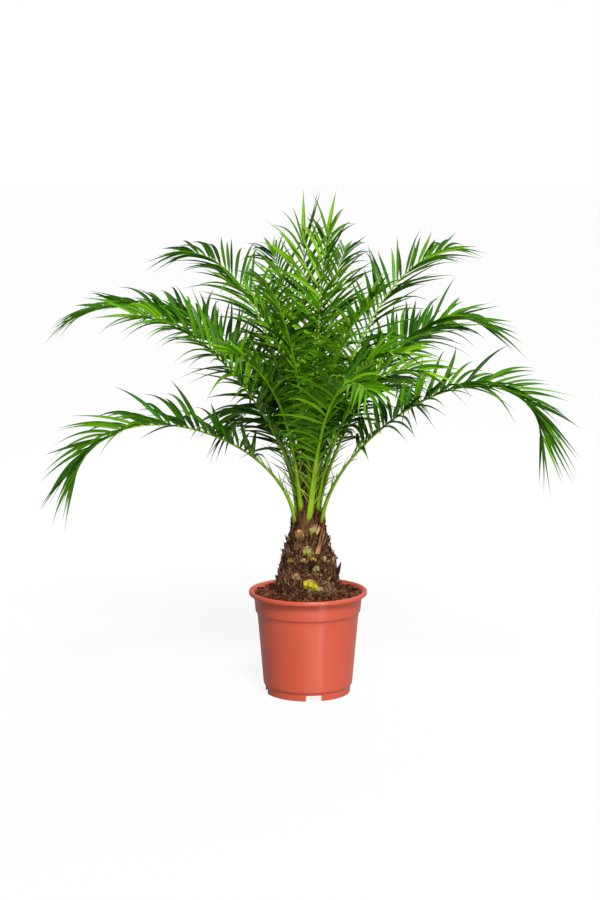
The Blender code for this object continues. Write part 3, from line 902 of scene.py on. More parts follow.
@dataclass
class PottingSoil:
    """Peaty soil with a crumbled top and a few pale roots."""

    shop: Workshop
    level: float = 0.160
    rings: int = 46
    sectors: int = 150
    relief: float = 0.0046
    sunk: float = 0.0012
    mound: float = 0.002
    mound_reach: float = 0.012
    middle: float = 0.004
    calm_rim: float = 0.004
    crumb_count: int = 1350
    crumb_sizes: tuple[float, float] = (0.0010, 0.0046)
    mostly_small: float = 2.2
    trunk_foot: float = 0.046
    edge: float = 0.0840
    roots: int = 26
    root_steps: int = 7
    root_stride: float = 0.0042
    root_bend: float = 38.0
    root_girths: tuple[float, float] = (0.00035, 0.0007)
    seed: int = 5
    # The soil body shows only between the crumbs. Its nearly black tones are partly moist peat and partly
    # painted shade for those gaps.
    moist_and_gap_shade: Peat = Peat("moist_peat", ((0.001, 0.0005, 0.0003), (0.020, 0.007, 0.003)))
    dark: Peat = Peat("dark_peat", ((0.008, 0.003, 0.0015), (0.085, 0.030, 0.013)), 400.0)
    bark: Peat = Peat("brown_bark", ((0.040, 0.014, 0.006), (0.215, 0.084, 0.040)), 400.0)
    root: Fibre = Fibre("pale_root", ((0.20, 0.11, 0.06), (0.42, 0.27, 0.17), (0.62, 0.46, 0.33)))

    def height(self, radius: float, azimuth: float) -> float:
        """Find the height of the soil's top, which is calm at its rim.

        Args:
            radius: The place's radius.
            azimuth: The place's azimuth, in degrees.

        Returns:
            The height.
        """
        spot = polar(radius, azimuth)
        lumps = noise.noise(spot * 95.0) * 0.6 + noise.noise(spot * 260.0) * 0.4
        mound = self.mound * exp(-(((radius - self.trunk_foot) / self.mound_reach) ** 2))
        calm = min(1.0, (self.edge - radius) / self.calm_rim + 0.2)
        return self.level - self.sunk + mound + lumps * self.relief * calm

    def body(self) -> None:
        """Build the soil's closed body with its relief on top."""
        pot, loops = NurseryPot(), []
        inner = [
            (self.edge, self.level - 0.003),
            (pot.band_foot - pot.wall - 0.0004, pot.band_foot_height),
            (pot.wall_top - pot.wall - 0.0004, pot.band_foot_height - pot.step_drop),
            (pot.wall_foot - pot.wall - 0.0008, pot.wall_foot_height + 0.003),
            (pot.wall_foot - pot.wall - 0.0030, pot.foot_height + pot.floor + 0.0006),
        ]
        for ring in range(self.rings):
            radius = self.middle + (self.edge - self.middle) * ring / (self.rings - 1)
            loops.append([polar(radius, a, self.height(radius, a)) for a in around(self.sectors)])
        loops += [[polar(radius, a, height) for a in around(self.sectors)] for radius, height in inner]
        mesh = lofted("potting_soil", loops)
        smooth(mesh, radians(50.0))
        keep(place("potting_soil", mesh), "soil", self.moist_and_gap_shade)

    def crumb(self) -> Item:
        """Make the pattern of one angular crumb.

        Returns:
            The pattern.
        """
        lump, rng = bmesh.new(), Random(self.seed)
        bmesh.ops.create_icosphere(lump, subdivisions=1, radius=1.0)
        for vert in lump.verts:
            vert.co *= rng.uniform(0.72, 1.15)
        return place("crumb", outward(lump, bpy.data.meshes.new("crumb")))

    def build(self) -> None:
        """Build the body, its crumbs of two tones and the roots on top."""
        self.body()
        pattern, rng = self.crumb(), Random(self.seed)
        draw = rng.uniform
        small, large = self.crumb_sizes
        for name, finish in (("soil_crumbs_dark", self.dark), ("soil_crumbs_bark", self.bark)):
            guide = Guide()
            for _ in range(self.crumb_count):
                radius = sqrt(draw(self.trunk_foot**2, (self.edge - 0.001) ** 2))
                azimuth = draw(0.0, 360.0)
                size = small + (large - small) * rng.random() ** self.mostly_small
                high = self.height(radius, azimuth) + draw(0.0, 1.0) * size
                turn = [draw(0.0, tau) for _ in range(3)]
                sides = (size * draw(0.7, 1.4), size, size * draw(0.45, 0.9))
                guide.copy(polar(radius, azimuth, high), turn, sides)
            self.shop.scatter.make(name, guide, "soil", finish, angle=SHARP_FLAKE, Pattern=pattern)
        bpy.data.objects.remove(pattern, do_unlink=True)
        self.root_threads(rng)

    def root_threads(self, rng: Random) -> None:
        """Lay the few pale roots that show on the soil.

        Args:
            rng: The source of their places and ways.
        """
        guide = Guide()
        for _ in range(self.roots):
            spot = polar(rng.uniform(self.trunk_foot, self.edge - 0.012), rng.uniform(0.0, 360.0))
            way, points = rng.uniform(0.0, 360.0), []
            for _ in range(self.root_steps):
                reach = hypot(spot.x, spot.y)
                if reach > self.edge - 0.003:
                    break
                turn = degrees(atan2(spot.y, spot.x))
                points.append(polar(reach, turn, self.height(reach, turn) + 0.0015))
                way += rng.uniform(-self.root_bend, self.root_bend)
                spot = spot + polar(self.root_stride, way)
            if len(points) > 2:
                girth = rng.uniform(*self.root_girths)
                guide.line([(point, -DOWN, girth) for point in points])
        self.shop.limbs.make("soil_root_threads", guide, "soil", self.root, Sides=5, Flatness=1.0)


# The trunk.


class BaseTone(Enum):
    """The looks of the old leaf bases."""

    LIME = OldLeafBase("leaf_base_lime", (0.52, 0.50, 0.008), (0.36, 0.26, 0.02), (0.08, 0.040, 0.008))
    OLIVE = OldLeafBase("leaf_base_olive", (0.19, 0.30, 0.010), (0.36, 0.22, 0.12), (0.07, 0.030, 0.013))
    TAN = OldLeafBase("leaf_base_tan", (0.11, 0.080, 0.020), (0.52, 0.28, 0.12), (0.10, 0.042, 0.018))
    BROWN = OldLeafBase("leaf_base_brown", (0.060, 0.029, 0.017), (0.15, 0.075, 0.042), (0.035, 0.016, 0.010))


@dataclass(frozen=True)
class LeafBase:
    """One old leaf base: where it sits, its width, its height and how far it stands out."""

    azimuth: float
    height: float
    width: float
    tall: float
    proud: float
    tone: BaseTone


@dataclass(frozen=True)
class Spur:
    """One pointed remnant: where it stands, how far out and up it reaches, and its girth."""

    azimuth: float
    height: float
    out: float
    rise: float
    girth: float


# The leaf bases that the front of the trunk shows.
FRONT_BASES = (
    LeafBase(-88, 0.178, 0.025, 0.017, 0.0060, BaseTone.LIME),
    LeafBase(-117, 0.251, 0.016, 0.019, 0.0060, BaseTone.TAN),
    LeafBase(-72, 0.262, 0.015, 0.017, 0.0050, BaseTone.OLIVE),
    LeafBase(-133, 0.217, 0.011, 0.009, 0.0035, BaseTone.LIME),
    LeafBase(-88, 0.229, 0.019, 0.017, 0.0040, BaseTone.OLIVE),
    LeafBase(-50, 0.216, 0.011, 0.013, 0.0035, BaseTone.OLIVE),
    LeafBase(-71, 0.200, 0.015, 0.016, 0.0055, BaseTone.OLIVE),
    LeafBase(-114, 0.190, 0.015, 0.013, 0.0040, BaseTone.TAN),
    LeafBase(-44, 0.191, 0.009, 0.007, 0.0030, BaseTone.LIME),
    LeafBase(-66, 0.173, 0.014, 0.010, 0.0035, BaseTone.OLIVE),
    LeafBase(-76, 0.221, 0.011, 0.008, 0.0030, BaseTone.LIME),
)

TALL_SPURS = (
    Spur(-5.0, 0.195, 0.0062, 0.0180, 0.0062),
    Spur(-1.0, 0.244, 0.0032, 0.0100, 0.0030),
    Spur(183.0, 0.184, 0.0044, 0.0080, 0.0048),
    Spur(178.0, 0.246, 0.0040, 0.0110, 0.0030),
    Spur(95.0, 0.205, 0.0052, 0.0140, 0.0050),
)


@dataclass
class FibrousTrunk:
    """The short swollen stem: a fibrous core, old leaf bases, flakes and strands."""

    shop: Workshop
    foot: float = 0.1595
    # Height and radius, from the foot to the tip between the petioles.
    taper: tuple[tuple[float, float], ...] = (
        (0.1595, 0.0505), (0.1700, 0.0492), (0.1920, 0.0470), (0.2150, 0.0430), (0.2390, 0.0345),
        (0.2630, 0.0280), (0.2750, 0.0245), (0.2840, 0.0232), (0.3000, 0.0208), (0.3200, 0.0180),
        (0.3450, 0.0145), (0.3700, 0.0115), (0.3950, 0.0080), (0.4150, 0.0030),
    )
    inset: float = 0.0022
    # Height of the relief: coarse lumps, upright fibres and fine grain.
    relief: tuple[float, float, float] = (0.0036, 0.0014, 0.0009)
    sectors: int = 168
    levels: int = 128
    base_count: int = 34
    base_span: tuple[float, float] = (0.172, 0.272)
    base_room: float = 0.020
    scale_count: int = 190
    scale_top: float = 0.292
    scale_sizes: tuple[float, float] = (0.0070, 0.0150)
    flake_count: int = 1500
    flake_top: float = 0.330
    flake_sizes: tuple[float, float] = (0.0030, 0.0082)
    fringe: int = 18
    hair_count: int = 3600
    hair_top: float = 0.375
    hair_end: float = 0.408
    hair_steps: int = 9
    spur_count: int = 120
    spur_top: float = 0.284
    sheath_count: int = 420
    sheath_foot: tuple[float, float] = (0.264, 0.280)
    sheath_out: tuple[float, float] = (0.0236, 0.0272)
    sheath_front: tuple[float, float] = (244.0, 292.0)
    torn_strips: int = 7
    seed: int = 23
    fibre: Fibre = Fibre("trunk_fibre", ((0.014, 0.005, 0.002), (0.130, 0.052, 0.020), (0.340, 0.175, 0.088)))
    matted: Fibre = Fibre(
        "matted_fibre", ((0.004, 0.0015, 0.001), (0.036, 0.014, 0.006), (0.120, 0.050, 0.023))
    )
    dark: Fibre = Fibre("dark_fibre", ((0.007, 0.003, 0.002), (0.045, 0.019, 0.010), (0.14, 0.066, 0.036)))
    straw: Fibre = Fibre("straw_fibre", ((0.09, 0.040, 0.019), (0.27, 0.140, 0.074), (0.55, 0.350, 0.210)))
    dried: Fibre = Fibre("dried_stub", ((0.040, 0.014, 0.005), (0.27, 0.125, 0.045), (0.56, 0.32, 0.15)))
    cream: Fibre = Fibre("torn_base_cream", ((0.16, 0.065, 0.018), (0.60, 0.35, 0.14), (0.90, 0.72, 0.46)))

    def __post_init__(self) -> None:
        """Start the draws of all that is loose on the trunk."""
        self.rng = Random(self.seed)

    def radius(self, height: float) -> float:
        """Return the trunk's radius at a height."""
        heights, radii = zip(*self.taper)
        return float(np.interp(height, heights, radii))

    def surface(self, azimuth: float, height: float) -> float:
        """Find the relief of the trunk's fibre.

        Args:
            azimuth: The place's azimuth, in degrees.
            height: The place's height.

        Returns:
            The radius there.
        """
        radius = self.radius(height)
        spot = polar(radius, azimuth, height)
        coarse = noise.noise(Vector((spot.x * 75.0, spot.y * 75.0, spot.z * 90.0)))
        hairs = noise.noise(Vector((spot.x * 300.0, spot.y * 300.0, spot.z * 110.0)))
        fine = noise.noise(spot * 420.0)
        relief = self.relief[0] * coarse + self.relief[1] * hairs + self.relief[2] * fine
        share = min(1.0, radius / 0.02)
        return radius - self.inset * share + relief * share

    def tilt(self, height: float) -> float:
        """Return the lean of the trunk's side at a height, from upright, in radians."""
        span = 0.008
        return -atan2(self.radius(height - span) - self.radius(height + span), 2 * span)

    def core(self) -> None:
        """Build the trunk's body with the relief of its fibre, up between the petioles."""
        loops = []
        for level in range(self.levels):
            height = self.foot + (self.taper[-1][0] - self.foot) * level / (self.levels - 1)
            loops.append([polar(self.surface(a, height), a, height) for a in around(self.sectors)])
        mesh = lofted("trunk_core", loops)
        smooth(mesh, radians(60.0))
        keep(place("trunk_core", mesh), "trunk", self.matted)

    def base_pattern(self) -> Item:
        """Make one leaf base: +X outwards, Y across and +Z up, rounded and worn at the top.

        Returns:
            The pattern, a unit tall.
        """
        across, rows, rings = 11, 9, []
        for row in range(rows):
            up = row / (rows - 1)
            wide = max(0.12, (4.0 * up * (1.0 - up)) ** 0.45 * (1.0 - 0.15 * up))
            out = 0.15 + 0.85 * sin(pi * min(up * 1.25, 1.0) * 0.62) * (1.0 - 0.5 * max(0.0, up - 0.7) / 0.3)
            ring = []
            for i in range(across):
                turn = pi * i / (across - 1)
                worn = 1.0 + 0.35 * noise.noise(Vector((3.1 * cos(turn), 4.0 * up, 1.7)))
                ring.append(Vector((out * worn * sin(turn) ** 0.8, wide * worn * cos(turn), up)))
            rings.append(ring + [Vector((-0.55, side * wide * 0.6, up)) for side in (-1.0, 1.0)])
        mesh = lofted("leaf_base", rings)
        store = mesh.attributes.new("up", "FLOAT", "POINT")
        store.data.foreach_set("value", [vert.co.z for vert in mesh.vertices])
        return place("leaf_base", mesh)

    def bases(self) -> list[LeafBase]:
        """Lay out all leaf bases: those in front as they show, the others on a spiral.

        Returns:
            The leaf bases.
        """
        found, (low, high) = list(FRONT_BASES), self.base_span
        tones = (BaseTone.BROWN, BaseTone.OLIVE, BaseTone.BROWN, BaseTone.TAN, BaseTone.BROWN, BaseTone.LIME)
        for index in range(self.base_count):
            share = index / (self.base_count - 1)
            height = low + (high - low) * share
            azimuth = index * GOLDEN_ANGLE + self.rng.uniform(-6.0, 6.0)
            size = (1.0 - 0.3 * share) * self.rng.uniform(0.75, 1.1)
            spot = polar(self.radius(height), azimuth, height)
            room = min((polar(self.radius(b.height), b.azimuth, b.height) - spot).length for b in found)
            if room > self.base_room * size:
                tone = tones[index % len(tones)]
                found.append(LeafBase(azimuth, height, 0.017 * size, 0.016 * size, 0.0048 * size, tone))
        return found

    def leaf_bases(self) -> list[LeafBase]:
        """Build the old leaf bases, one piece for each tone.

        Returns:
            Where they sit.
        """
        pattern, found, draw = self.base_pattern(), self.bases(), self.rng.uniform
        for tone in BaseTone:
            guide = Guide()
            for base in (b for b in found if b.tone is tone):
                spot = polar(self.radius(base.height) - 0.0030, base.azimuth, base.height - 0.003)
                turn = (draw(-0.2, 0.2), self.tilt(base.height) + draw(0.05, 0.20), radians(base.azimuth))
                guide.copy(spot, turn, (base.proud * 0.85 + 0.0012, base.width * 0.56, base.tall * 1.12))
            name = "old_leaf_bases_" + tone.name.lower()
            self.shop.scatter.make(name, guide, "trunk", tone.value, Pattern=pattern)
        bpy.data.objects.remove(pattern, do_unlink=True)
        return found

    def flake_pattern(self) -> Item:
        """Make one thin ragged flake, its point up and its flat side to +X.

        Returns:
            The pattern, a unit tall.
        """
        outline = [(-0.5, 0.0), (0.5, 0.0), (0.34, 0.5), (0.10, 1.0), (-0.12, 0.62), (-0.36, 0.45)]
        rings = [[Vector((x, y * s, z * s)) for y, z in outline] for x, s in ((-0.08, 1.0), (0.08, 0.92))]
        return place("flake", lofted("flake", rings))

    def scales(self, pattern: Item) -> None:
        """Build the larger ragged scales of torn leaf bases, every other one edge on.

        Args:
            pattern: The flake that they are copies of.
        """
        guide, draw = Guide(), self.rng.uniform
        for index in range(self.scale_count):
            share = (index + 0.5) / self.scale_count
            height = self.foot + 0.004 + (self.scale_top - self.foot) * share
            azimuth = index * GOLDEN_ANGLE * 1.3 + draw(-12.0, 12.0)
            size = draw(*self.scale_sizes) * (1.0 - 0.35 * share)
            lean = self.tilt(height) + draw(0.35, 1.05)
            if index % 2:
                turn = (lean, draw(-0.3, 0.3), radians(azimuth + draw(60.0, 120.0)))
            else:
                turn = (draw(-0.7, 0.7), lean, radians(azimuth + draw(-40.0, 40.0)))
            sides = (size * 0.7, size * draw(0.40, 0.80), size * draw(0.8, 1.2))
            guide.copy(polar(self.radius(height) - 0.0022, azimuth, height), turn, sides)
        self.shop.scatter.make("torn_scales", guide, "trunk", self.dark, angle=SHARP_FLAKE, Pattern=pattern)

    def flakes(self, pattern: Item, bases: Sequence[LeafBase]) -> None:
        """Build the small flakes of fibre, over the whole trunk and closer round each leaf base.

        Args:
            pattern: The flake that they are copies of.
            bases: The leaf bases.
        """
        spots, draw = [], self.rng.uniform
        for _ in range(self.flake_count):
            height = self.foot + (self.flake_top - self.foot) * self.rng.random() ** 1.15
            spots.append((draw(0.0, 360.0), height))
        for base in bases:
            for _ in range(self.fringe):
                turn = draw(0.0, tau)
                aside = degrees(cos(turn) * base.width * 0.56 / self.radius(base.height))
                spots.append((base.azimuth + aside, base.height + base.tall * (0.36 + 0.56 * sin(turn))))
        finishes = {"dark": self.dark, "brown": self.fibre, "straw": self.straw}
        order = ("dark", "brown", "dark", "brown", "brown", "straw")
        for name, finish in finishes.items():
            guide = Guide()
            for index, (azimuth, height) in enumerate(spots):
                if order[index % len(order)] != name:
                    continue
                size = draw(*self.flake_sizes)
                lean = (draw(-1.9, 1.9), self.tilt(height) + draw(0.05, 0.85))
                turn = (*lean, radians(azimuth + draw(-25.0, 25.0)))
                sides = (size, size * draw(0.22, 0.60), size * draw(0.8, 1.5))
                guide.copy(polar(self.surface(azimuth, height) - 0.0004, azimuth, height), turn, sides)
            whole = "trunk_flakes_" + name
            self.shop.scatter.make(whole, guide, "trunk", finish, angle=SHARP_FLAKE, Pattern=pattern)

    def hairs(self) -> None:
        """Build the loose strands that lie on the trunk and run up between the petioles."""
        kinds = (
            ("brown_strands", self.fibre, 0.42, (0.00035, 0.00095)),
            ("straw_strands", self.straw, 0.26, (0.00028, 0.00070)),
            ("dark_strands", self.dark, 0.32, (0.00040, 0.00110)),
        )
        for name, finish, share, girths in kinds:
            guide = Guide()
            for _ in range(int(self.hair_count * share)):
                guide.line(self.strand(self.rng.uniform(*girths)))
            self.shop.limbs.make(name, guide, "trunk", finish, Sides=3, Flatness=0.8)

    def strand(self, girth: float) -> list[LineRow]:
        """Return the line of one strand that wanders over the trunk and lifts off it.

        Args:
            girth: Its half width at its root.

        Returns:
            The line's rows, as a guide takes them.
        """
        rng, draw, rows = self.rng, self.rng.uniform, []
        height = self.foot + 0.003 + (self.hair_top - self.foot) * rng.random() ** 1.2
        azimuth, way = draw(0.0, 360.0), draw(0.0, tau)
        if height > 0.27 or rng.random() < 0.35:
            way = pi / 2 + draw(-0.6, 0.6)
        stride, turn = draw(0.0010, 0.0034), draw(-0.35, 0.35)
        lift, arched = draw(0.0004, 0.0034) * min(1.0, self.radius(height) / 0.03), rng.random() < 0.6
        for step in range(self.hair_steps):
            u = step / (self.hair_steps - 1)
            off = lift * (sin(pi * u) if arched else u * u)
            spot = polar(self.surface(azimuth, height) + 0.0006 + off, azimuth, height)
            rows.append((spot, polar(1.0, azimuth), girth * (1.0 - 0.65 * u)))
            way += turn + draw(-0.25, 0.25)
            height = min(max(height + stride * sin(way), self.foot + 0.001), self.hair_end)
            azimuth += degrees(stride * cos(way) / (self.radius(height) + 0.004))
        return rows

    def spur(self, plan: Spur, drift: float = 0.0) -> list[LineRow]:
        """Draw the line of one hard pointed remnant.

        Args:
            plan: Where it stands and how big it is.
            drift: How far it turns aside, in degrees.

        Returns:
            The line's rows, as a guide takes them.
        """
        base, rows = self.radius(plan.height) - 0.002, []
        for u in (0.0, 0.25, 0.5, 0.75, 1.0):
            up = plan.height + plan.rise * u * (0.4 + 0.6 * u)
            spot = polar(base + (plan.out + 0.002) * u**0.8, plan.azimuth + drift * u * u, up)
            upper = polar(1.0, plan.azimuth + self.rng.uniform(30.0, 60.0))
            rows.append((spot, upper, plan.girth * (1.0 - 0.88 * u**1.8)))
        return rows

    def spurs(self) -> None:
        """Build the hard pointed remnants that stand off the trunk and break its outline."""
        dark, brown, draw = Guide(), Guide(), self.rng.uniform
        for index in range(self.spur_count):
            azimuth, height = draw(0.0, 360.0), draw(self.foot + 0.006, self.spur_top)
            out = 0.0012 + 0.0062 * self.rng.random() ** 2.4
            plan = Spur(azimuth, height, out, draw(-0.0045, 0.0070), draw(0.0014, 0.0040))
            (brown if index % 2 else dark).line(self.spur(plan, draw(-9.0, 9.0)))
        for plan in TALL_SPURS:
            dark.line(self.spur(plan))
        for name, guide, finish in (("dark_spurs", dark, self.dark), ("brown_spurs", brown, self.fibre)):
            self.shop.limbs.make(name, guide, "trunk", finish, Sides=5, Flatness=0.4)

    def sheath(self) -> None:
        """Build the upright fibre of the torn sheath round the crown's foot, tallest in front."""
        guide, draw = Guide(), self.rng.uniform
        for index in range(self.sheath_count):
            in_front, rows = index % 3 == 0, []
            azimuth = draw(*(self.sheath_front if in_front else (0.0, 360.0)))
            low = draw(*self.sheath_foot)
            tall = draw(0.016, 0.034) if in_front else draw(0.006, 0.012)
            out, drift, girth = draw(*self.sheath_out), draw(-30.0, 30.0), draw(0.0005, 0.0013)
            for u in (0.0, 0.2, 0.4, 0.6, 0.8, 1.0):
                turn = azimuth + drift * u + 3.0 * sin(6.0 * u + azimuth)
                shy = 0.0060 if in_front else 0.0035
                reach = min(out, self.radius(low + tall * u) + shy) + 0.002 * u * u
                rows.append((polar(reach, turn, low + tall * u), polar(1.0, turn), girth * (1.0 - 0.75 * u)))
            guide.line(rows)
        self.shop.limbs.make("torn_sheath", guide, "trunk", self.fibre, Sides=5, Flatness=0.5)

    def dried_stub(self) -> None:
        """Build the tall dried petiole stub on the right, split into pale strips with dark edges."""
        pale, edges, draw = Guide(), Guide(), self.rng.uniform
        # Azimuth, height, how far out and the share of the girth, from the stub's foot to its top.
        stations = (
            (-68.0, 0.232, 0.0010, 1.0),
            (-60.0, 0.247, 0.0026, 1.05),
            (-48.0, 0.263, 0.0042, 0.8),
            (-40.0, 0.278, 0.0075, 0.9),
        )
        # Each strip's azimuth from the stub's middle, its girth and the share of the height it has.
        strips = ((-4.0, 0.0018, 0.94), (0.0, 0.0024, 1.0), (3.8, 0.0016, 0.78), (6.5, 0.0010, 0.55))
        dark_strips = ((-6.4, 0.0012, 1.02), (2.0, 0.0012, 0.96), (8.4, 0.0012, 0.70))
        foot = stations[0][1]
        for guide, kind in ((pale, strips), (edges, dark_strips)):
            for aside, girth, share in kind:
                rows = []
                for index, (azimuth, height, out, width) in enumerate(stations):
                    turn = azimuth + aside * (1.0 - 0.4 * index / 3) + draw(-1.2, 1.2)
                    high = foot + (height - foot) * share
                    spot = polar(self.radius(high) + out + draw(-0.0006, 0.0006), turn, high)
                    rows.append((spot, polar(1.0, turn), girth * width))
                guide.line(rows)
        self.shop.limbs.make("dried_petiole_stub", pale, "trunk", self.dried, Sides=7, Flatness=0.5)
        self.shop.limbs.make("dried_stub_edges", edges, "trunk", self.dark, Sides=6, Flatness=0.9)

    def torn_base(self) -> None:
        """Build the pale strips of the torn leaf base beside the dried stub."""
        guide, draw = Guide(), self.rng.uniform
        for index in range(self.torn_strips):
            azimuth = -74.0 + 4.2 * index + draw(-2.0, 2.0)
            low, tall, rows = 0.264 + draw(-0.002, 0.003), draw(0.008, 0.014), []
            for u, girth in ((0.0, 0.0016), (0.35, 0.0015), (0.7, 0.0011), (1.0, 0.0004)):
                high = low + tall * u
                spot = polar(self.radius(high) + 0.0012 + 0.004 * u * u, azimuth + draw(2.0, 9.0) * u, high)
                rows.append((spot, polar(1.0, azimuth), girth))
            guide.line(rows)
        self.shop.limbs.make("torn_leaf_base", guide, "trunk", self.cream, Sides=6, Flatness=0.4)

    def build(self) -> None:
        """Build the whole trunk."""
        self.core()
        bases, pattern = self.leaf_bases(), self.flake_pattern()
        self.scales(pattern)
        self.flakes(pattern, bases)
        bpy.data.objects.remove(pattern, do_unlink=True)
        self.hairs()
        self.sheath()
        self.spurs()
        self.dried_stub()
        self.torn_base()


# The crown.


class Tone(Enum):
    """The greens of the leaflets."""

    FRESH = LeafBlade("leaf_fresh", (0.150, 0.345, 0.004))
    BRIGHT = LeafBlade("leaf_bright", (0.092, 0.262, 0.003))
    MID = LeafBlade("leaf_mid", (0.054, 0.182, 0.002))
    DEEP = LeafBlade("leaf_deep", (0.029, 0.114, 0.002))
    DARK = LeafBlade("leaf_dark", (0.012, 0.062, 0.001))
    BLUISH = LeafBlade("leaf_bluish", (0.038, 0.170, 0.009))


class ToneAndShadeMix(Enum):
    """Which share of a frond's leaflets has each tone, by where the frond stands: partly the leaflets' own
    greens and partly painted light and shade, with darker greens dealt to side and back fronds as painted
    shade and brighter ones to front and centre fronds as painted light.
    """

    CENTRE = (0.31, 0.42, 0.20, 0.05, 0.02, 0.00)
    FRONT = (0.15, 0.38, 0.34, 0.09, 0.02, 0.02)
    SIDE = (0.01, 0.10, 0.34, 0.41, 0.09, 0.05)
    BACK = (0.02, 0.10, 0.28, 0.36, 0.18, 0.06)

    def deal(self, rng: Random) -> Tone:
        """Return a tone drawn from the mix."""
        return rng.choices(list(Tone), weights=self.value)[0]


class Ring(Enum):
    """The four rings of fronds round the spear leaf."""

    # Radius and height of the roots, and the ribs' girth as a share of the full one.
    OUTER = (0.0225, 0.279, 1.0)
    SECOND = (0.0170, 0.288, 0.96)
    THIRD = (0.0120, 0.295, 0.86)
    INNER = (0.0068, 0.300, 0.74)


@dataclass(frozen=True)
class FrondPlan:
    """One frond: ring, heading, four leans from upright, length, longest leaflet, roll, tones."""

    ring: Ring
    heading: float
    leans: Leans
    length: float
    longest: float
    roll: float
    mix: ToneAndShadeMix


FRONDS = (
    FrondPlan(Ring.OUTER, 193, (6, 86, 50, 166), 0.454, 0.108, -12, ToneAndShadeMix.SIDE),
    FrondPlan(Ring.OUTER, 354, (7, 74, 21, 180), 0.488, 0.112, 18, ToneAndShadeMix.SIDE),
    FrondPlan(Ring.SECOND, 161, (6, 25, 58, 109), 0.550, 0.110, -8, ToneAndShadeMix.SIDE),
    FrondPlan(Ring.SECOND, 17, (5, 49, 0, 124), 0.458, 0.106, 18, ToneAndShadeMix.SIDE),
    FrondPlan(Ring.THIRD, 142, (3, 21, 7, 92), 0.505, 0.110, -34, ToneAndShadeMix.BACK),
    FrondPlan(Ring.THIRD, 37, (2, 33, 17, 82), 0.515, 0.110, 28, ToneAndShadeMix.SIDE),
    FrondPlan(Ring.INNER, 94, (10, 20, -11, 7), 0.423, 0.141, -11, ToneAndShadeMix.CENTRE),
    FrondPlan(Ring.INNER, 54, (9, -2, -1, 17), 0.438, 0.118, 14, ToneAndShadeMix.CENTRE),
    FrondPlan(Ring.THIRD, 200, (9, 42, 25, 86), 0.441, 0.112, -34, ToneAndShadeMix.FRONT),
    FrondPlan(Ring.SECOND, 338, (4, 25, 15, 99), 0.320, 0.114, 34, ToneAndShadeMix.FRONT),
    FrondPlan(Ring.SECOND, 237, (13, 6, 44, 74), 0.350, 0.106, -20, ToneAndShadeMix.FRONT),
    FrondPlan(Ring.SECOND, 316, (12, -3, 47, 88), 0.370, 0.109, 20, ToneAndShadeMix.FRONT),
    FrondPlan(Ring.OUTER, 290, (15, 14, 49, 110), 0.391, 0.098, 12, ToneAndShadeMix.FRONT),
    FrondPlan(Ring.THIRD, 254, (5, 27, 27, 75), 0.480, 0.104, -20, ToneAndShadeMix.FRONT),
    FrondPlan(Ring.INNER, 219, (8, 2, 16, 60), 0.403, 0.100, -28, ToneAndShadeMix.CENTRE),
    FrondPlan(Ring.INNER, 300, (7, 10, 38, 62), 0.420, 0.100, 22, ToneAndShadeMix.CENTRE),
    FrondPlan(Ring.OUTER, 111, (11, 67, 76, 136), 0.405, 0.106, -20, ToneAndShadeMix.BACK),
    FrondPlan(Ring.OUTER, 62, (14, 51, 63, 136), 0.442, 0.104, 5, ToneAndShadeMix.BACK),
    FrondPlan(Ring.SECOND, 97, (11, 34, 60, 109), 0.472, 0.112, 9, ToneAndShadeMix.BACK),
    FrondPlan(Ring.SECOND, 136, (12, 36, 41, 90), 0.458, 0.110, -26, ToneAndShadeMix.BACK),
    FrondPlan(Ring.SECOND, 41, (10, 42, 42, 96), 0.448, 0.106, 14, ToneAndShadeMix.BACK),
    FrondPlan(Ring.THIRD, 77, (4, 30, 18, 71), 0.483, 0.108, 5, ToneAndShadeMix.BACK),
    FrondPlan(Ring.THIRD, 106, (8, 17, 18, 64), 0.461, 0.112, -20, ToneAndShadeMix.BACK),
)


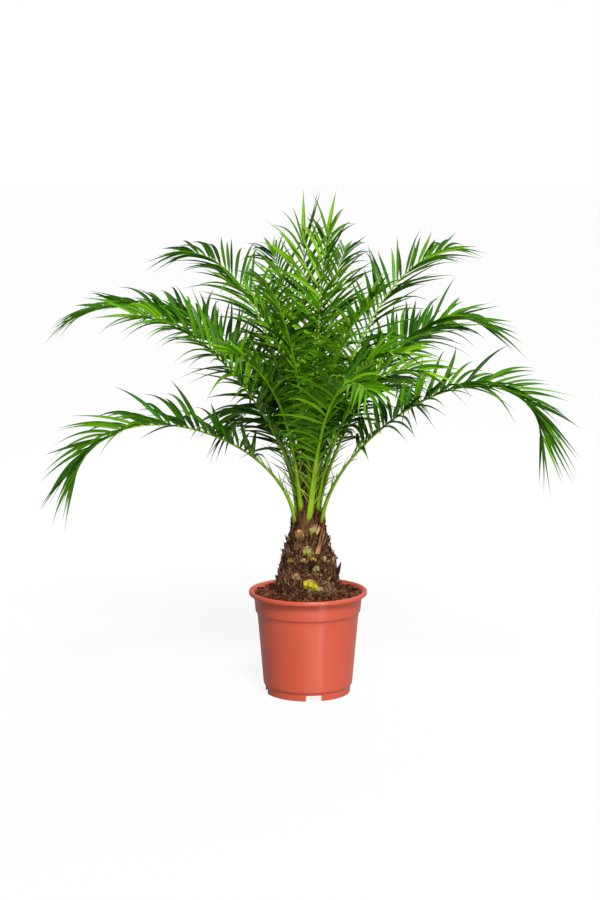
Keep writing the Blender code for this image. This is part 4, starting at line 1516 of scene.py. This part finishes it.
@dataclass
class Rib:
    """The line of one frond: where it is, which way it runs and which way it faces."""

    root: Vector
    heading: float
    leans: Leans
    length: float
    roll: float = 0.0
    girth: float = 1.0
    steps: int = 240
    roll_full_by: float = 0.35

    def __post_init__(self) -> None:
        """Walk the rib from its root, with the lean that the four given values set."""
        self.outward, self.across = polar(1.0, self.heading), polar(1.0, self.heading + 90.0)
        self.points = [self.root]
        for step in range(self.steps):
            along = self.direction((step + 0.5) / self.steps)
            self.points.append(self.points[-1] + along * (self.length / self.steps))

    def direction(self, t: float) -> Vector:
        """Find which way the rib runs.

        Args:
            t: Its place along the rib, as a share.

        Returns:
            The unit direction.
        """
        (foot, low, high, tip), s = self.leans, 1.0 - t
        lean = radians(foot * s**3 + 3 * low * s * s * t + 3 * high * s * t * t + tip * t**3)
        return self.outward * sin(lean) + Vector((0.0, 0.0, cos(lean)))

    def point(self, t: float) -> Vector:
        """Find a point on the rib, or just past its ends.

        Args:
            t: Its place along the rib, as a share.

        Returns:
            The point.
        """
        inside = min(max(t, 0.0), 1.0)
        low = min(int(inside * self.steps), self.steps - 1)
        spot = self.points[low].lerp(self.points[low + 1], inside * self.steps - low)
        return spot + self.direction(t) * ((t - inside) * self.length)

    def frame(self, t: float) -> tuple[Vector, Vector, Vector]:
        """Find how the rib faces.

        Args:
            t: Its place along the rib, as a share.

        Returns:
            Its direction, its side and its upper face.
        """
        along = self.direction(t)
        turn = radians(self.roll) * min(1.0, max(t, 0.0) / self.roll_full_by)
        side = self.across * cos(turn) + along.cross(self.across) * sin(turn)
        return along, side, along.cross(side)

    def branch(self, t: float, side: float, opening: float, rise: float) -> tuple[Vector, Vector]:
        """Return how a blade leaves the rib.

        Args:
            t: Its place along the rib, as a share.
            side: 1 or -1.
            opening: Its angle from the rib, in radians.
            rise: Its angle up from the rib's side, in radians.

        Returns:
            The way it heads and the way across it.
        """
        along, across, upper = self.frame(t)
        raised = across * (side * cos(rise)) + upper * sin(rise)
        heading = along * cos(opening) + raised * sin(opening)
        return heading, (along - heading * along.dot(heading)).normalized()

    def flank(self, t: float, side: float, share: float) -> Vector:
        """Return the point beside the rib's middle at t, by a share of its half width."""
        return self.point(t) + self.frame(t)[1] * (side * self.half_width(t) * share)

    def half_width(self, t: float) -> float:
        """Find half the rib's width.

        Args:
            t: Its place along the rib, as a share.

        Returns:
            Half the width.
        """
        places = (0.0, 0.05, 0.13, 0.27, 0.60, 1.0)
        widths = (0.0062, 0.0052, 0.0042, 0.0030, 0.0020, 0.0009)
        return float(np.interp(t, places, widths)) * self.girth


@dataclass
class LeafletRule:
    """How leaflets stand on a rib: the source's rule, carried to finer spacing."""

    rng: Random
    start: float = 0.27
    spacing: float = 0.0097
    stray: float = 0.32
    width: float = 0.0089
    opening: float = 72.0
    closing: float = 51.0
    rise: float = 34.0
    rise_loss: float = 8.0
    twist: float = 22.0
    droop: float = 0.27
    open_spread: float = 8.0
    rise_spread: float = 17.0
    twist_spread: float = 28.0
    droop_spread: tuple[float, float] = (-0.16, 0.15)
    curl_spread: float = 0.10
    along_spread: tuple[float, float] = (-0.06, 0.12)
    length_spread: tuple[float, float] = (0.95, 1.14)
    width_spread: tuple[float, float] = (0.82, 1.12)
    narrowing: float = 0.24
    seat: float = 0.6
    short_ones: float = 0.07
    short_spread: tuple[float, float] = (0.55, 0.85)
    last_seat: float = 0.004
    last_width: float = 0.0080

    def share(self, x: float) -> float:
        """Return a leaflet's length at a share x of the blade, as a share of the longest."""
        fill = 0.55 + 0.45 * min(1.0, x / 0.30) ** 0.7
        return fill * (1.0 - 0.34 * max(0.0, (x - 0.50) / 0.50) ** 1.3)

    def stations(self, rib: Rib) -> list[float]:
        """Share out the leaflet pairs.

        Args:
            rib: Their rib.

        Returns:
            Their places along the rib.
        """
        count = round(rib.length * (1.0 - self.start) / self.spacing)
        step = (1.0 - self.start) / count
        return [self.start + (i + 0.5) * step for i in range(count)]

    def add(self, guide: Guide, rib: Rib, t: float, side: float, longest: float) -> None:
        """Add the leaflet at t on one side of a rib to a guide.

        Args:
            guide: The guide of the piece that it belongs to.
            rib: Its rib.
            t: Its place along the rib, as a share.
            side: 1 or -1.
            longest: The length of the frond's longest leaflet.
        """
        draw = self.rng.uniform
        x = (t - self.start) / (1.0 - self.start)
        along, _, upper = rib.frame(t)
        opening = radians(self.opening - self.closing * x**1.2 + draw(-1, 1) * self.open_spread)
        rise = radians(self.rise - self.rise_loss * x + draw(-1, 1) * self.rise_spread)
        twist = radians(self.twist + draw(-1, 1) * self.twist_spread)
        heading, flat = rib.branch(t, side, opening, rise)
        length = longest * self.share(x) * draw(*self.length_spread)
        if self.rng.random() < self.short_ones:
            length *= draw(*self.short_spread)
        bend = DOWN * (self.droop + draw(*self.droop_spread)) + along * draw(*self.along_spread)
        curl = Vector([draw(-1.0, 1.0) * self.curl_spread for _ in range(3)]) + DOWN * 0.06
        guide.blade(
            rib.flank(t, side, self.seat),
            heading=heading,
            bend=bend,
            curl=curl,
            wide=facing(Matrix.Rotation(side * twist, 3, heading) @ flat, heading, upper),
            length=length,
            width=self.width * draw(*self.width_spread) * (1.0 - self.narrowing * x),
        )

    def add_last(self, guide: Guide, rib: Rib, longest: float) -> None:
        """Add the leaflet that ends a frond.

        Args:
            guide: The guide of its piece.
            rib: Its rib.
            longest: The longest leaflet's length.
        """
        along, across, upper = rib.frame(1.0)
        guide.blade(
            rib.point(1.0) - along * self.last_seat,
            heading=along,
            bend=DOWN * 0.05,
            curl=DOWN * 0.03,
            wide=facing(across, along, upper),
            length=longest * 0.65 + self.last_seat,
            width=self.last_width,
        )


def facing(wide: Vector, heading: Vector, upper: Vector) -> Vector:
    """Return the way across a blade, turned round if its upper face would look down."""
    return -wide if heading.cross(wide).dot(upper) < 0.0 else wide


@dataclass
class FrondCrown:
    """The crown: 23 fronds in four rings, their spines and the closed spear leaf."""

    shop: Workshop
    rib_stations: int = 44
    spines: int = 7
    spear_foot: float = 0.3025
    spear_length: float = 0.30
    spear_girth: float = 0.0034
    spear_stations: int = 24
    split_bend: float = 90.0
    seed: int = 11
    rib_green: LeafRib = LeafRib("frond_rib", (0.155, 0.330, 0.006), (0.270, 0.470, 0.012))
    spear_green: LeafRib = LeafRib("spear_leaf_skin", (0.150, 0.330, 0.008), (0.230, 0.420, 0.020))
    spine_green: LeafBlade = LeafBlade("petiole_spine", (0.26, 0.38, 0.040), 0.5)

    def __post_init__(self) -> None:
        """Lay out each frond's plan, its rib and its CAD nodes."""
        self.rng = Random(self.seed)
        self.rule = LeafletRule(self.rng)
        self.rows: list[tuple[FrondPlan, Rib, list[str]]] = []
        counts = dict.fromkeys(Ring, 0)
        for plan, azimuth in zip(FRONDS, self.azimuths()):
            counts[plan.ring] += 1
            radius, height, girth = plan.ring.value
            name = f"frond_{plan.ring.name.lower()}_{counts[plan.ring]}"
            rib = Rib(polar(radius, azimuth, height), plan.heading, plan.leans, plan.length, plan.roll, girth)
            split = plan.leans[-1] - plan.leans[0] > self.split_bend
            self.rows.append((plan, rib, [name, name + "_tip"] if split else [name]))
        self.nodes = [node for _, _, nodes in self.rows for node in nodes]

    def azimuths(self) -> list[float]:
        """Share out the fronds' roots: even in each ring, in the order of the headings.

        Returns:
            Each frond's root azimuth, in degrees.
        """
        found = [0.0] * len(FRONDS)
        for ring in Ring:
            members = sorted((plan.heading, i) for i, plan in enumerate(FRONDS) if plan.ring is ring)
            step = 360.0 / len(members)
            start = sum(heading - i * step for i, (heading, _) in enumerate(members)) / len(members)
            for i, (_, index) in enumerate(members):
                found[index] = start + i * step
        return found

    def build(self) -> None:
        """Build the ribs, the leaflets of each tone, the spines and the spear."""
        rng, rule = self.rng, self.rule
        self.build_ribs()
        beds = {tone: Guide() for tone in Tone}
        covered: dict[Tone, set[str]] = {tone: set() for tone in Tone}
        for plan, rib, nodes in self.rows:
            stations = rule.stations(rib)
            gap = stations[1] - stations[0]
            for t in stations:
                for side in (1.0, -1.0):
                    tone = plan.mix.deal(rng)
                    spot = min(t + rng.uniform(-1.0, 1.0) * gap * rule.stray, 1.0)
                    rule.add(beds[tone], rib, spot, side, plan.longest)
                    covered[tone].update(nodes)
            rule.add_last(beds[plan.mix.deal(rng)], rib, plan.longest)
        for tone, guide in beds.items():
            name = "leaflets_" + tone.name.lower()
            self.shop.blades.make(name, guide, "leaf", tone.value, sorted(covered[tone]))
        self.build_spines()
        self.build_spear()

    def build_ribs(self) -> None:
        """Build the petioles and ribs of all fronds."""
        guide, last = Guide(), self.rib_stations - 1
        sunk, bunched = 0.004, 1.25
        shares = [(1.0 + sunk) * (i / last) ** bunched - sunk for i in range(self.rib_stations)]
        for _, rib, _ in self.rows:
            guide.line([(rib.point(t), rib.frame(t)[2], rib.half_width(t)) for t in shares])
        self.shop.limbs.make("frond_ribs", guide, "leaf", self.rib_green, self.nodes, Sides=10, Flatness=0.62)

    def build_spines(self) -> None:
        """Build the thin pale spines along the petioles."""
        guide, draw = Guide(), self.rng.uniform
        places = [(rib, index) for _, rib, _ in self.rows for index in range(self.spines)]
        for rib, index in places:
            for side in (1.0, -1.0):
                t = 0.07 + (self.rule.start - 0.05) * (index + draw(0.1, 0.9)) / self.spines
                opening, rise = radians(draw(28.0, 62.0)), radians(draw(0.0, 45.0))
                heading, flat = rib.branch(t, side, opening, rise)
                guide.blade(
                    rib.flank(t, side, 0.7),
                    heading=heading,
                    bend=DOWN * draw(-0.05, 0.12),
                    curl=DOWN * 0.02,
                    wide=facing(flat, heading, rib.frame(t)[2]),
                    length=draw(0.018, 0.034) + 0.10 * t,
                    width=draw(0.0015, 0.0023),
                )
        self.shop.blades.make("petiole_spines", guide, "leaf", self.spine_green, self.nodes, Stations=4)

    def build_spear(self) -> None:
        """Build the closed young leaf in the middle."""
        rib = Rib(polar(0.0, 0.0, self.spear_foot), 20.0, (1, 2, 3, 5), self.spear_length)
        guide, rows = Guide(), []
        for station in range(self.spear_stations + 1):
            t = station / self.spear_stations
            rows.append((rib.point(t), rib.frame(t)[2], self.spear_girth * (1.0 - 0.92 * t**1.6)))
        guide.line(rows)
        finish, node = self.spear_green, ["spear_leaf"]
        self.shop.limbs.make("closed_spear_leaf", guide, "leaf", finish, node, Sides=8, Flatness=0.8)


# The studio.


@dataclass
class Studio:
    """A pale floor, soft light and the camera."""

    stand: Vector = field(default_factory=lambda: Vector((0.0, -3.2, 0.8768)))
    aim: Vector = field(default_factory=lambda: Vector((-0.0128, 0.0, 0.393)))
    middle: Vector = field(default_factory=lambda: Vector((0.0, 0.0, 0.35)))
    lens: float = 81.56
    sensor: float = 36.0
    floor_reach: float = 40.0
    sun_power: float = 4.0
    sun_spread: float = 17.0
    sun_from: Vector = field(default_factory=lambda: Vector((0.32, -1.80, 2.05)))
    sky_power: tuple[float, float] = (0.17, 0.45)

    def hang(self, name: str, data: bpy.types.ID, spot: Vector, way: Vector) -> Item:
        """Hang a camera or a lamp.

        Args:
            name: Its name.
            data: Its data.
            spot: Where it hangs.
            way: Where it looks.

        Returns:
            The new object.
        """
        made = bpy.data.objects.new(name, data)
        made.location = spot
        made.rotation_euler = way.to_track_quat("-Z", "Y").to_euler()
        bpy.context.scene.collection.objects.link(made)
        return made

    def floor(self) -> None:
        """Lay the floor."""
        reach, mesh = self.floor_reach, bpy.data.meshes.new("studio_floor")
        corners = [(x * reach, y * reach, 0.0) for x, y in ((-1, -1), (1, -1), (1, 1), (-1, 1))]
        mesh.from_pydata(corners, [], [(0, 1, 2, 3)])
        mesh.materials.append(PaleFloor().build())
        place("studio_floor", mesh)

    def light(self, name: str, spot: Colour, size: tuple[float, float], power: float) -> None:
        """Hang one soft rectangular light that faces the plant.

        Args:
            name: Its name.
            spot: Where it hangs.
            size: Its width and height.
            power: Its power.
        """
        lamp = bpy.data.lights.new(name, "AREA")
        lamp.shape = "RECTANGLE"
        lamp.size, lamp.size_y = size
        lamp.energy = power
        self.hang(name, lamp, Vector(spot), self.middle - Vector(spot))

    def sun(self) -> None:
        """Set the main light: broad, from the upper right in front."""
        lamp = bpy.data.lights.new("broad_sun", "SUN")
        lamp.energy, lamp.angle = self.sun_power, radians(self.sun_spread)
        self.hang("broad_sun", lamp, Vector(), -self.sun_from)

    def sky(self) -> None:
        """Set a pale sky: white to the camera, softer as a light, and softest from the left."""
        world = bpy.data.worlds.new("pale_sky")
        world.use_nodes = True
        sheet = NodeSheet(world.node_tree)
        sheet.tree.nodes.clear()
        seen = sheet.add("ShaderNodeLightPath").outputs["Is Camera Ray"]
        way = sheet.add("ShaderNodeTexCoord").outputs["Generated"]
        across = sheet.add("ShaderNodeSeparateXYZ", {"Vector": way}).outputs["X"]
        low, high = self.sky_power
        wires = {"Value": across, "From Min": -0.8, "From Max": 0.8, "To Min": low, "To Max": high}
        side = sheet.add("ShaderNodeMapRange", wires).outputs["Result"]
        wires = {"Value": seen, "To Min": side, "To Max": 1.0}
        power = sheet.add("ShaderNodeMapRange", wires).outputs["Result"]
        glow = sheet.add("ShaderNodeBackground", {"Color": (1.0, 1.0, 1.0, 1.0), "Strength": power})
        sheet.add("ShaderNodeOutputWorld", {"Surface": glow})
        bpy.context.scene.world = world

    def camera(self) -> None:
        """Set the camera as the photo was taken."""
        lens = bpy.data.cameras.new("studio_camera")
        lens.lens = self.lens
        lens.sensor_fit = "VERTICAL"
        lens.sensor_height = self.sensor
        lens.clip_end = 200.0
        bpy.context.scene.camera = self.hang("studio_camera", lens, self.stand, self.aim - self.stand)

    def build(self) -> None:
        """Set up the camera, the floor and the lights."""
        bpy.context.scene.view_settings.view_transform = "Standard"
        self.camera()
        self.floor()
        self.sky()
        self.sun()
        self.light("strip_light", spot=(1.25, -2.3, 0.50), size=(0.15, 1.7), power=36.0)
        self.light("back_light", spot=(0.6, 2.2, 2.6), size=(2.0, 1.6), power=30.0)
        LOG.info("studio: camera, floor, sky and lights")


def main() -> None:
    """Build the potted palm and its studio."""
    logging.basicConfig(level=logging.INFO, format="%(message)s")
    Studio().build()
    shop = Workshop()
    NurseryPot().build()
    PottingSoil(shop).build()
    FibrousTrunk(shop).build()
    FrondCrown(shop).build()


if __name__ == "__main__":
    main()
